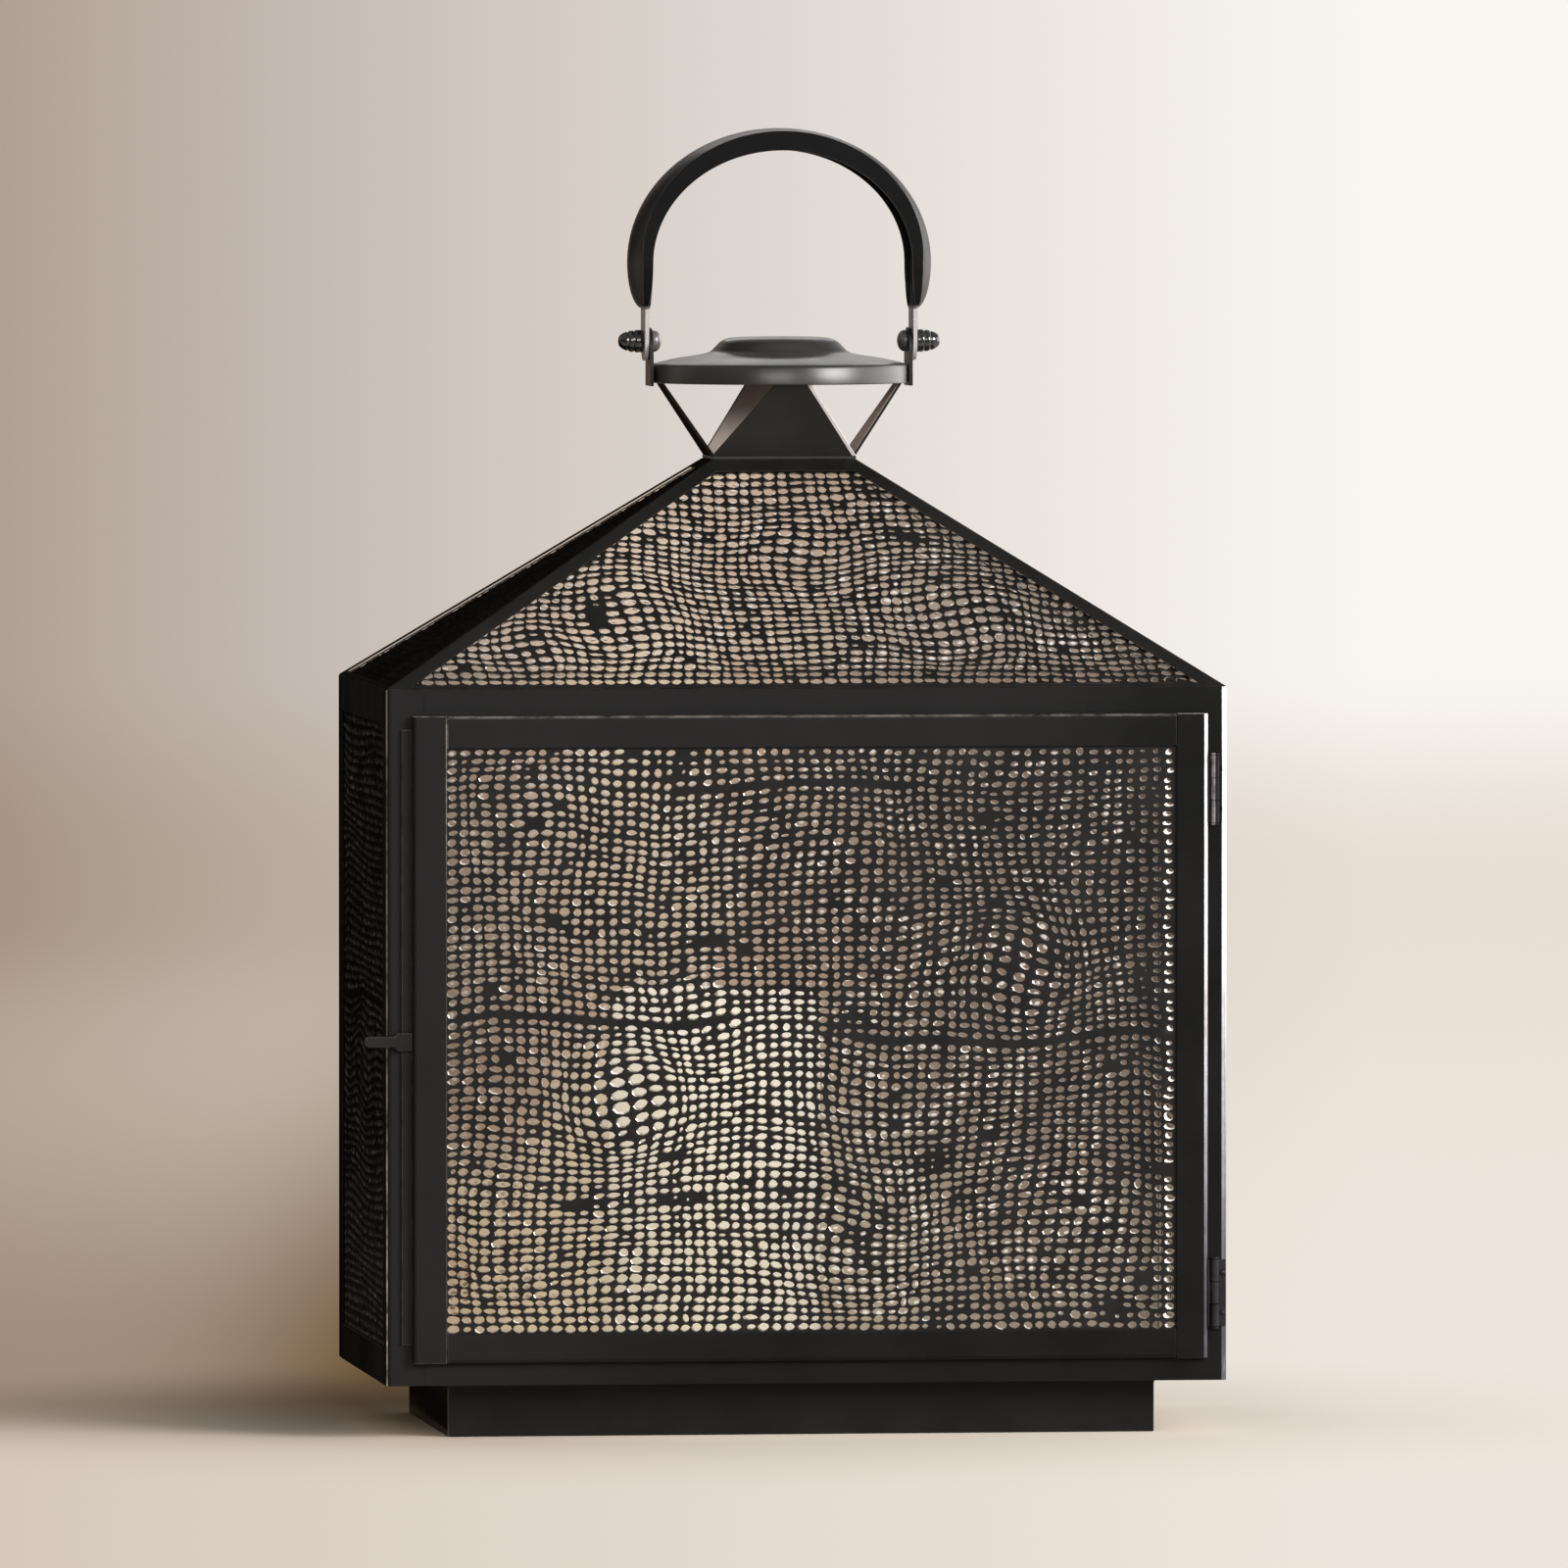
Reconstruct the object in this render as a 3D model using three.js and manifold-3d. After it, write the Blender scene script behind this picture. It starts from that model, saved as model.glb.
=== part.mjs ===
// A black sheet-metal lantern for a pillar candle: a hinged front door, a hipped roof and a swinging
// carrying handle. Millimetres, +Z up. The origin is the middle of the plinth's underside, the door
// faces -Y and its hinges are at +X.
import * as THREE from "three";
import { mergeVertices } from "three/addons/utils/BufferGeometryUtils.js";
import Module from "manifold-3d";

const wasm = await Module();
wasm.setup();

// Metal thicknesses and clearances
const frameSheet = 1.2; // posts, rails, roof frames and petals
const patternSheet = 0.8; // the perforated sheets
const weldGap = 0.3; // between pieces that are spot welded on a slope or at a round face
const runningGap = 0.3; // between pieces that turn on each other

// Plinth and body
const plinthWidth = 261.2;
const plinthDepth = 136.6;
const plinthHeight = 20;
const plinthWall = 1.5;
const bodyWidth = 310;
const bodyDepth = 174.6;
const bodyHeight = 254.5; // from the plinth to the eave
const cornerRadius = 2; // outer bend of the posts
const sideLeg = 11; // posts, seen from the side
const backLeg = 14; // rear posts, seen from behind
const sideRailHeight = 13;
const patternLanding = 5; // how far a wall sheet laps behind its frame
const openingPitch = 23; // plain openings that stand for the sheets' thousands of small holes
const openingShare = 0.66; // of the pitch

// Door, placed by the margins of the front frame that stay in view round it
const leftMargin = 9.5;
const rightMargin = 7.5;
const topMargin = 9.5;
const bottomMargin = 8.2;
const doorThickness = 3.5;
const doorGap = 0.3; // between the shut door and the front frame
const doorOverlap = 4.5; // how far the door laps over the front opening's edges
const leftStileWidth = 12.5;
const rightStileWidth = 11.6;
const topRailWidth = 12;
const bottomRailWidth = 11;
const doorEdgeRadius = 1.5;
const flangeWidth = 3.9;
const flangeThickness = 0.8;
const flangeLift = 6.8; // above the door's underside
const flangeDrop = 5; // below the door's top
const tabLift = 117.8; // middle of the pull tab, above the door's underside
const tabLength = 18;
const tabWidth = 4.4;
const tabFootLength = 5.5;
const tabFootWidth = 7;
const tabThickness = 1.8;
const strikeWidth = 5;
const strikeThickness = 1.5;
const strikeLength = 18;
const magnetWidth = 5.8;
const magnetThickness = 6;
const magnetLength = 20;

// Hinges
const hingeOffset = 2.6; // pin axis, outside the door's right edge
const upperHingeDrop = 15.7; // top of the upper hinge, below the door's top
const lowerHingeLift = 11.7; // underside of the lower hinge, above the door's underside
const hingeLength = 24.5;
const knuckleRadius = 1.6;
const pinRadius = 0.7;
const pinHeadHeight = 0.7;
const leafThickness = 0.6;
const leafWidth = 4.3;
const doorLeafDepth = 2.5;
const rivetHeadRadius = 1;
const rivetHeadHeight = 0.45;
const rivetShankRadius = 0.5;
const rivetTail = 0.4;

// Roof, vent and cap
const roofRise = 82.1;
const neckWidth = 53.6;
const neckDepth = 31;
const hipMargin = 5.3; // plain metal beside each hip
const eaveMargin = 2;
const neckMargin = 6;
const roofLanding = 1.5;
const collarWidth = 2.8;
const ventRise = 28; // from the top of the roof to the cap
const petalTopWidth = 13.5;
const frontPetalReach = 44;
const sidePetalReach = 45;
const capRadius = 47.2;
const capRimHeight = 7;
const lidRise = 10; // from the rim to the middle of the lid

// Handle and its pivots
const pivotRise = 15.4; // above the cap's underside
const earWidth = 16;
const earThickness = 1.3;
const earDrop = 1.1; // below the cap's underside
const earRise = 5; // above the pivot
const boltRadius = 1.6;
const boltHeadRadius = 4;
const boltHeadHeight = 3.3;
const strapWidth = 14.5;
const strapThickness = 1.5;
const finialLength = 9;
const finialRadius = 4.25;
const finialBoreDepth = 4.8;
const archHalfWidth = 56.4;
const archLift = 29; // where the arch starts, above the pivot
const archRise = 49.6;
const gripWidth = 26;
const gripDepth = 8.2; // its flat flanks and its crown together
const crownAtLegs = 3.6;
const crownAtTop = 1;
const leafLength = 17; // taper from the grip down to the strap

// Candle
const candleRadius = 39;
const candleHeight = 138.8;
const candleX = -24;
const candleEdgeRadius = 3;
const dishDepth = 2.5;
const wickRadius = 1.2;
const wickDepth = 12;
const wickHeight = 9;

// Places that follow from these sizes
const halfWidth = bodyWidth / 2;
const halfDepth = bodyDepth / 2;
const eaveHeight = plinthHeight + bodyHeight;
const doorLeft = -halfWidth + leftMargin;
const doorRight = halfWidth - rightMargin;
const doorBottom = plinthHeight + bottomMargin;
const doorTop = eaveHeight - topMargin;
const tabHeight = doorBottom + tabLift;
const neckHeight = eaveHeight + roofRise;
const capUnderside = neckHeight + ventRise;
const pivotHeight = capUnderside + pivotRise;
const archMiddle = pivotHeight + archLift;

const materials = {
  black: new THREE.MeshStandardMaterial({ color: 0x232324, roughness: 0.5, metalness: 0.6 }),
  pattern: new THREE.MeshStandardMaterial({ color: 0x2b2826, roughness: 0.55, metalness: 0.6 }),
  steel: new THREE.MeshStandardMaterial({ color: 0x7f8082, roughness: 0.35, metalness: 0.9 }),
  wax: new THREE.MeshStandardMaterial({ color: 0xebe3c6, roughness: 0.6, metalness: 0 }),
  wick: new THREE.MeshStandardMaterial({ color: 0x4a4036, roughness: 0.9, metalness: 0 }),
};

const lantern = new THREE.Group();

function add(name, geometry, material = materials.black) {
  const mesh = new THREE.Mesh(geometry, material);
  mesh.name = name;
  lantern.add(mesh);
}

function box(x, y, z) {
  const size = [x, y, z].map(([low, high]) => high - low);
  const middle = [x, y, z].map(([low, high]) => (low + high) / 2);
  return new THREE.BoxGeometry(...size).translate(...middle);
}

// The ends of a span given from either end
const span = (a, b) => [Math.min(a, b), Math.max(a, b)];

const unitX = new THREE.Vector3(1, 0, 0);
const unitY = new THREE.Vector3(0, 1, 0);
const unitZ = new THREE.Vector3(0, 0, 1);
// Each turns an outline in XY, extruded along Z, to lie along another axis.
const alongAxis = {
  x: new THREE.Matrix4().makeBasis(unitY, unitZ, unitX),
  y: new THREE.Matrix4().makeBasis(unitZ, unitX, unitY),
  z: new THREE.Matrix4(),
};

// A bar or plate: an outline in the plane across the axis, from one place on the axis to another
function bar(outline, axis, [from, to], curveSegments = 8) {
  const shape = outline instanceof THREE.Shape ? outline : new THREE.Shape(outline);
  const options = { depth: to - from, bevelEnabled: false, curveSegments };
  const geometry = new THREE.ExtrudeGeometry(shape, options);
  return geometry.translate(0, 0, from).applyMatrix4(alongAxis[axis]);
}

// The outline of a bent angle whose outer corner is rounded. legA and legB are signed lengths.
function angleOutline(a, b, legA, legB, thickness, radius) {
  const signA = Math.sign(legA);
  const signB = Math.sign(legB);
  const steps = 4;
  const bend = [];
  for (let i = 0; i <= steps; i++) {
    const turn = (i / steps) * (Math.PI / 2);
    const alongA = a + signA * radius * (1 - Math.sin(turn));
    const alongB = b + signB * radius * (1 - Math.cos(turn));
    bend.push(new THREE.Vector2(alongA, alongB));
  }
  return [
    new THREE.Vector2(a + legA, b),
    ...bend,
    new THREE.Vector2(a, b + legB),
    new THREE.Vector2(a + signA * thickness, b + legB),
    new THREE.Vector2(a + signA * thickness, b + signB * thickness),
    new THREE.Vector2(a + legA, b + signB * thickness),
  ];
}

// A closed solid from triangles of points, turned inside out if they face inwards
function solidOfTriangles(triangles) {
  const across = new THREE.Vector3();
  const volume = triangles.reduce((sum, [a, b, c]) => sum + a.dot(across.crossVectors(b, c)), 0);
  const facing = triangles.flatMap(([a, b, c]) => (volume > 0 ? [a, b, c] : [a, c, b]));
  const geometry = new THREE.BufferGeometry().setFromPoints(facing);
  geometry.computeVertexNormals();
  return geometry;
}

const quad = (a, b, c, d) => [
  [a, b, c],
  [a, c, d],
];

// The quads between two loops of points, joined end to end
function loopWall(first, second) {
  return first.flatMap((point, i) => {
    const next = (i + 1) % first.length;
    return quad(point, first[next], second[next], second[i]);
  });
}

function flatPlate(outer, inner) {
  const faces = [...quad(...outer), ...quad(...inner.toReversed()), ...loopWall(inner, outer)];
  return solidOfTriangles(faces);
}

function windowPlate(outer, outerWindow, inner, innerWindow) {
  return solidOfTriangles([
    ...loopWall(outer, outerWindow),
    ...loopWall(innerWindow, inner),
    ...loopWall(inner, outer),
    ...loopWall(outerWindow, innerWindow),
  ]);
}

// A turned piece: its profile is [radius, place along the axis] from end to end on the axis, or closed.
function turned(profile, segments) {
  const points = profile.map(([radius, along]) => new THREE.Vector2(radius, along));
  return new THREE.LatheGeometry(points, segments).rotateX(Math.PI / 2);
}

// Turned pieces of the pivots lie along X: outwards is +X for side 1 and -X for side -1.
const outwards = (geometry, side) =>
  geometry.rotateY((side * Math.PI) / 2).translate(0, 0, pivotHeight);

function solid(geometry) {
  const bare = geometry.clone();
  bare.deleteAttribute("normal");
  bare.deleteAttribute("uv");
  const merged = mergeVertices(bare, 1e-4);
  const index = merged.index.array;
  const corners = [];
  for (let i = 0; i < index.length; i += 3) {
    const [a, b, c] = [index[i], index[i + 1], index[i + 2]];
    if (a !== b && b !== c && c !== a) corners.push(a, b, c);
  }
  const vertProperties = new Float32Array(merged.attributes.position.array);
  const triVerts = new Uint32Array(corners);
  return new wasm.Manifold(new wasm.Mesh({ numProp: 3, vertProperties, triVerts }));
}

function geometryOf(manifold) {
  const mesh = manifold.getMesh();
  const geometry = new THREE.BufferGeometry();
  geometry.setAttribute("position", new THREE.BufferAttribute(mesh.vertProperties, 3));
  geometry.setIndex([...mesh.triVerts]);
  geometry.computeVertexNormals();
  return geometry;
}

// Cuts a plain grid of openings in a sheet, between two heights. halfAt gives half of the window's
// width at a height, and place puts a sideways place, a height and a depth on the sheet.
function perforated(sheet, halfAt, [low, high], place) {
  const rows = Math.round((high - low) / openingPitch);
  const columns = Math.round((2 * halfAt(low)) / openingPitch);
  const pitchUp = (high - low) / rows;
  const pitchAcross = (2 * halfAt(low)) / columns;
  const halfUp = (pitchUp * openingShare) / 2;
  const halfAcross = (pitchAcross * openingShare) / 2;
  const cutters = [];
  for (let row = 0; row < rows; row++) {
    const z = low + (row + 0.5) * pitchUp;
    for (let column = 0; column < columns; column++) {
      const x = (column + 0.5) * pitchAcross - halfAt(low);
      if (Math.abs(x) + pitchAcross / 2 > halfAt(z + pitchUp / 2) + patternSheet) continue;
      const loop = (depth) => [
        place(x - halfAcross, z - halfUp, depth),
        place(x + halfAcross, z - halfUp, depth),
        place(x + halfAcross, z + halfUp, depth),
        place(x - halfAcross, z + halfUp, depth),
      ];
      cutters.push(flatPlate(loop(-patternSheet), loop(2 * patternSheet)));
    }
  }
  return cut(sheet, ...cutters);
}

// The same for an upright sheet that faces one way, given half its window's width, the window's
// middle, its two heights and how far out the sheet's outer face lies
function perforatedWall(sheet, facing, half, middle, heights, reach) {
  const place = (x, z, depth) =>
    new THREE.Vector3(middle + x, depth - reach, z).applyAxisAngle(unitZ, facing);
  return perforated(sheet, () => half, heights, place);
}

const joined = (...pieces) => geometryOf(pieces.map(solid).reduce((whole, next) => whole.add(next)));
const cut = (from, ...tools) =>
  geometryOf(tools.map(solid).reduce((whole, tool) => whole.subtract(tool), solid(from)));

// A round rod along an axis, through the place given across it
function rod(radius, axis, at, reach, segments = 20) {
  const circle = new THREE.Shape().absarc(at[0], at[1], radius, 0, 2 * Math.PI);
  return bar(circle, axis, reach, segments);
}

// Plinth: a folded tray, open on top, closed by the floor pan
const plinthHalf = [plinthWidth / 2, plinthDepth / 2];
const plinthBlock = box(
  [-plinthHalf[0], plinthHalf[0]],
  [-plinthHalf[1], plinthHalf[1]],
  [0, plinthHeight],
);
const plinthHollow = box(
  [-plinthHalf[0] + plinthWall, plinthHalf[0] - plinthWall],
  [-plinthHalf[1] + plinthWall, plinthHalf[1] - plinthWall],
  [plinthWall, plinthHeight + plinthWall],
);
add("plinth", cut(plinthBlock, plinthHollow));

const floorTop = plinthHeight + frameSheet;
const innerX = halfWidth - frameSheet;
const innerY = halfDepth - frameSheet;
add("floor_pan", box([-innerX, innerX], [-innerY, innerY], [plinthHeight, floorTop]));

// Front opening, which the door laps over
const openingLeft = doorLeft + doorOverlap;
const openingRight = doorRight - doorOverlap;
const openingBottom = doorBottom + doorOverlap;
const openingTop = doorTop - doorOverlap;

// Hinge places, needed for the rivet holes in the right front post
const doorBack = -halfDepth - doorGap;
const doorFront = doorBack - doorThickness;
const hingeHeights = {
  upper: doorTop - upperHingeDrop - hingeLength,
  lower: doorBottom + lowerHingeLift,
};
const hingeX = doorRight + hingeOffset;
const hingeY = -halfDepth - doorGap - knuckleRadius;
const leafFront = -halfDepth - leafThickness;
const knuckleLength = (hingeLength - 2 * runningGap) / 3;
const leafStart = hingeX + knuckleRadius + runningGap;
const rivetX = (leafStart + hingeX + leafWidth) / 2;
const rivetHeights = Object.entries(hingeHeights).flatMap(([name, bottom]) => [
  { name: `${name}_hinge_rivet_top`, z: bottom + hingeLength * 0.8 },
  { name: `${name}_hinge_rivet_bottom`, z: bottom + hingeLength * 0.2 },
]);
const rivetHoleRadius = rivetShankRadius + runningGap;
const rivetHole = ({ z }) => {
  const reach = [-halfDepth - frameSheet, -halfDepth + 2 * frameSheet];
  return rod(rivetHoleRadius, "y", [z, rivetX], reach, 12);
};

// Corner posts: bent angles from the underside of the body to the eave
const posts = {
  front_left_post: { x: -1, y: -1, leg: openingLeft + halfWidth },
  front_right_post: { x: 1, y: -1, leg: halfWidth - openingRight },
  back_left_post: { x: -1, y: 1, leg: backLeg },
  back_right_post: { x: 1, y: 1, leg: backLeg },
};
for (const [name, { x, y, leg }] of Object.entries(posts)) {
  const outline = angleOutline(
    x * halfWidth,
    y * halfDepth,
    -x * leg,
    -y * sideLeg,
    frameSheet,
    cornerRadius,
  );
  const post = bar(outline, "z", [plinthHeight, eaveHeight]);
  add(name, name === "front_right_post" ? cut(post, ...rivetHeights.map(rivetHole)) : post);
}

// Rails between the posts
const frontRail = (z) => box([openingLeft, openingRight], [-halfDepth, -innerY], z);
add("front_top_rail", frontRail([openingTop, eaveHeight]));
add("front_bottom_rail", frontRail([plinthHeight, openingBottom]));
const backReach = halfWidth - backLeg;
const sideReach = halfDepth - sideLeg;
const railHeights = {
  top: [eaveHeight - sideRailHeight, eaveHeight],
  bottom: [plinthHeight, plinthHeight + sideRailHeight],
};
for (const [place, z] of Object.entries(railHeights)) {
  add(`back_${place}_rail`, box([-backReach, backReach], [innerY, halfDepth], z));
  add(`left_${place}_rail`, box([-halfWidth, -innerX], [-sideReach, sideReach], z));
  add(`right_${place}_rail`, box([innerX, halfWidth], [-sideReach, sideReach], z));
}

// Perforated wall sheets, lapping behind the posts and rails
const wallSheetHeight = [
  plinthHeight + sideRailHeight - patternLanding,
  eaveHeight - sideRailHeight + patternLanding,
];
const wallWindow = [plinthHeight + sideRailHeight, eaveHeight - sideRailHeight];
const sideSheetReach = sideReach + patternLanding;
const backSheetReach = backReach + patternLanding;
const sideSheetFaces = [innerX - patternSheet, innerX];
for (const [name, side] of Object.entries({ left: -1, right: 1 })) {
  const x = span(side * sideSheetFaces[0], side * sideSheetFaces[1]);
  const plain = box(x, [-sideSheetReach, sideSheetReach], wallSheetHeight);
  const facing = (side * Math.PI) / 2;
  const sheet = perforatedWall(plain, facing, sideReach, 0, wallWindow, innerX);
  add(`${name}_perforated_sheet`, sheet, materials.pattern);
}
const backSheetFaces = [innerY - patternSheet, innerY];
const plainBack = box([-backSheetReach, backSheetReach], backSheetFaces, wallSheetHeight);
add(
  "back_perforated_sheet",
  perforatedWall(plainBack, Math.PI, backReach, 0, wallWindow, innerY),
  materials.pattern,
);

// Roof: four sloping trapezoids, each a frame with a perforated sheet behind it
const lerp = THREE.MathUtils.lerp;
const frontSlope = {
  eaveReach: halfDepth,
  neckReach: neckDepth / 2,
  eaveHalf: halfWidth,
  neckHalf: neckWidth / 2,
};
const sideSlope = {
  eaveReach: halfWidth,
  neckReach: neckWidth / 2,
  eaveHalf: halfDepth,
  neckHalf: neckDepth / 2,
};
const slopeSine = ({ eaveReach, neckReach }) =>
  roofRise / Math.hypot(eaveReach - neckReach, roofRise);

// Builds a roof panel's loops of four corners. facing turns the panel about Z from the front.
function roofSide(slope, neighbour, facing) {
  const { eaveReach, neckReach, eaveHalf, neckHalf } = slope;
  const length = Math.hypot(eaveReach - neckReach, roofRise);
  const hipSine = Math.sin(Math.atan2(length, eaveHalf - neckHalf));
  const point = (up, depth, sideways) => {
    const reach = lerp(eaveReach, neckReach, up) - depth / slopeSine(slope);
    const height = eaveHeight + up * roofRise;
    return new THREE.Vector3(sideways, -reach, height).applyAxisAngle(unitZ, facing);
  };
  const loop = (low, high, depth, inset) => {
    const half = (up) => lerp(eaveHalf, neckHalf, up) - inset;
    return [
      point(low, depth, -half(low)),
      point(low, depth, half(low)),
      point(high, depth, half(high)),
      point(high, depth, -half(high)),
    ];
  };
  const mitre = (depth) => weldGap + depth / slopeSine(neighbour);
  const windowLow = eaveMargin / length;
  const windowHigh = 1 - neckMargin / length;
  const windowInset = hipMargin / hipSine;
  const frame = windowPlate(
    loop(0, 1, 0, mitre(0)),
    loop(windowLow, windowHigh, 0, windowInset),
    loop(0, 1, frameSheet, mitre(frameSheet)),
    loop(windowLow, windowHigh, frameSheet, windowInset),
  );
  const lap = roofLanding / length;
  const sheetLoop = (depth) =>
    loop(windowLow - lap, windowHigh + lap, depth, windowInset - roofLanding);
  const outerDepth = frameSheet + weldGap;
  const plain = flatPlate(sheetLoop(outerDepth), sheetLoop(outerDepth + patternSheet));
  const halfAt = (along) => lerp(eaveHalf, neckHalf, along / length) - windowInset;
  const place = (x, along, depth) => point(along / length, outerDepth + depth, x);
  const sheet = perforated(plain, halfAt, [windowLow * length, windowHigh * length], place);
  return { frame, sheet };
}

const roofSides = {
  front: roofSide(frontSlope, sideSlope, 0),
  right: roofSide(sideSlope, frontSlope, Math.PI / 2),
  back: roofSide(frontSlope, sideSlope, Math.PI),
  left: roofSide(sideSlope, frontSlope, -Math.PI / 2),
};
for (const [name, { frame, sheet }] of Object.entries(roofSides)) {
  add(`${name}_roof_frame`, frame);
  add(`${name}_roof_sheet`, sheet, materials.pattern);
}

// Vent collar on top of the roof, open in the middle
const collarTop = neckHeight + frameSheet;
const collarBlock = box(
  [-neckWidth / 2, neckWidth / 2],
  [-neckDepth / 2, neckDepth / 2],
  [neckHeight, collarTop],
);
const collarHole = box(
  [-neckWidth / 2 + collarWidth, neckWidth / 2 - collarWidth],
  [-neckDepth / 2 + collarWidth, neckDepth / 2 - collarWidth],
  [neckHeight - frameSheet, collarTop + frameSheet],
);
add("vent_collar", cut(collarBlock, collarHole));

// Petals: flat trapezoids that flare from the collar up to the cap and narrow on the way
function petal(baseReach, baseHalf, topReach, facing) {
  const rise = capUnderside - collarTop;
  const shift = frameSheet / (rise / Math.hypot(topReach - baseReach, rise));
  const loop = (inward) =>
    [
      [-baseHalf, baseReach, collarTop],
      [baseHalf, baseReach, collarTop],
      [petalTopWidth / 2, topReach, capUnderside],
      [-petalTopWidth / 2, topReach, capUnderside],
    ].map(([x, reach, z]) =>
      new THREE.Vector3(x, inward - reach, z).applyAxisAngle(unitZ, facing),
    );
  return { plate: flatPlate(loop(0), loop(shift)), shift };
}
const frontPetal = petal(neckDepth / 2, neckWidth / 2, frontPetalReach, 0);
const backPetal = petal(neckDepth / 2, neckWidth / 2, frontPetalReach, Math.PI);
const sidePetalHalf = neckDepth / 2 - frontPetal.shift - weldGap;
add("front_petal", frontPetal.plate);
add("back_petal", backPetal.plate);
add("right_petal", petal(neckWidth / 2, sidePetalHalf, sidePetalReach, Math.PI / 2).plate);
add("left_petal", petal(neckWidth / 2, sidePetalHalf, sidePetalReach, -Math.PI / 2).plate);

// Cap: a flat disc on the petals, inside a spun lid with a raised middle
const capInner = capRadius - frameSheet;
add("cap_plate", rod(capInner - weldGap, "z", [0, 0], [capUnderside, capUnderside + frameSheet], 24));
const rimTop = capUnderside + capRimHeight;
// The lid's outside from rim to middle, as shares of the cap's radius and of the lid's rise
const lidCurve = [
  [1, -0.06],
  [0.985, 0],
  [0.8, 0.21],
  [0.62, 0.34],
  [0.545, 0.44],
  [0.5, 0.63],
  [0.455, 0.83],
  [0.4, 0.94],
  [0.32, 0.98],
  [0, 1],
];
const lidOutside = lidCurve.map(([r, up]) => [r * capRadius, rimTop + up * lidRise]);
const lidInside = lidOutside.map(([r, z]) => [Math.max(0, r - frameSheet), z - frameSheet]);
const lidProfile = [
  ...lidInside.toReversed(),
  [capInner, capUnderside],
  [capRadius, capUnderside],
  ...lidOutside,
];
add("cap_lid", turned(lidProfile, 48));

// Ears, pivot bolts and finials, one set on each side of the cap
const earInner = capRadius + weldGap;
const earOuter = earInner + earThickness;
const strapInner = earOuter + runningGap;
const strapOuter = strapInner + strapThickness;
const finialStart = strapOuter + runningGap;
const boltHoleRadius = boltRadius + runningGap;
const earBottom = capUnderside - earDrop;
const earArcMiddle = pivotHeight + earRise - earWidth / 2;

function earOutline() {
  const outline = new THREE.Shape();
  outline.moveTo(-earWidth / 2, earBottom);
  outline.lineTo(earWidth / 2, earBottom);
  outline.lineTo(earWidth / 2, earArcMiddle);
  outline.absarc(0, earArcMiddle, earWidth / 2, 0, Math.PI);
  outline.holes.push(new THREE.Path().absarc(0, pivotHeight, boltHoleRadius, 0, 2 * Math.PI, true));
  return outline;
}

const headBase = earInner - weldGap;
const boltEnd = finialStart + finialBoreDepth - runningGap;
const boltProfile = [
  [0, headBase - boltHeadHeight],
  [boltHeadRadius * 0.5, headBase - boltHeadHeight * 0.93],
  [boltHeadRadius * 0.85, headBase - boltHeadHeight * 0.65],
  [boltHeadRadius, headBase - boltHeadHeight * 0.3],
  [boltHeadRadius, headBase],
  [boltRadius, headBase],
  [boltRadius, boltEnd],
  [0, boltEnd],
];

// Three beads that shrink towards the tip, as radius and place in shares of the finial
const finialBeads = [
  [0.88, 0],
  [1, 0.12],
  [0.94, 0.26],
  [0.74, 0.36],
  [0.8, 0.44],
  [0.76, 0.58],
  [0.52, 0.66],
  [0.56, 0.74],
  [0.5, 0.88],
  [0.28, 0.97],
  [0, 1],
];
const finialProfile = [
  [0, finialStart + finialBoreDepth],
  [boltHoleRadius, finialStart + finialBoreDepth],
  [boltHoleRadius, finialStart],
  ...finialBeads.map(([r, s]) => [r * finialRadius, finialStart + s * finialLength]),
];
for (const [name, side] of Object.entries({ left: -1, right: 1 })) {
  add(`${name}_ear`, bar(earOutline(), "x", span(side * earInner, side * earOuter), 12));
  add(`${name}_pivot_bolt`, outwards(turned(boltProfile, 20), side), materials.steel);
  add(`${name}_finial`, outwards(turned(finialProfile, 24), side));
}

// Handle: one strip of metal, flat at both ends and pressed to a crowned channel where the hand holds
// it. A station is a point on the inner edge line, the direction outwards, a half width, how far the
// strip is pressed, from 0 (flat) to 1 (channel), and the height of its crown.
function handleStations() {
  const stations = [];
  const endRadius = strapWidth / 2;
  const gripInner = archHalfWidth - gripDepth;
  const endSteps = 5;
  for (let i = 1; i <= endSteps; i++) {
    const turn = (i / endSteps) * (Math.PI / 2);
    const half = endRadius * Math.sin(turn);
    const z = pivotHeight - endRadius * Math.cos(turn);
    stations.push({ x: strapInner, z, out: [1, 0], half, roll: 0, crown: crownAtLegs });
  }
  const leafSteps = 7;
  for (let i = 0; i <= leafSteps; i++) {
    const turn = (i / leafSteps) * (Math.PI / 2);
    const roll = Math.sin(turn);
    const z = archMiddle - leafLength * Math.cos(turn);
    const x = lerp(strapInner, gripInner, roll);
    const half = lerp(strapWidth, gripWidth, roll) / 2;
    stations.push({ x, z, out: [1, 0], half, roll, crown: crownAtLegs });
  }
  const quarterSteps = 12;
  for (let i = 1; i <= quarterSteps; i++) {
    const turn = (i / quarterSteps) * (Math.PI / 2);
    const normal = new THREE.Vector2(Math.cos(turn) / archHalfWidth, Math.sin(turn) / archRise);
    const out = normal.normalize().toArray();
    const x = archHalfWidth * Math.cos(turn) - gripDepth * out[0];
    const z = archMiddle + archRise * Math.sin(turn) - gripDepth * out[1];
    const crown = lerp(crownAtLegs, crownAtTop, Math.sin(turn));
    stations.push({ x, z, out, half: gripWidth / 2, roll: 1, crown });
  }
  const mirrored = stations
    .slice(0, -1)
    .toReversed()
    .map((s) => ({ ...s, x: -s.x, out: [-s.out[0], s.out[1]] }));
  return [...stations, ...mirrored];
}

// Places across the channel: both flanks stand at the ends, and the crown is a parabola between them
const channel = [-1, -1, -0.7, -0.35, 0, 0.35, 0.7, 1, 1];

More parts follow.
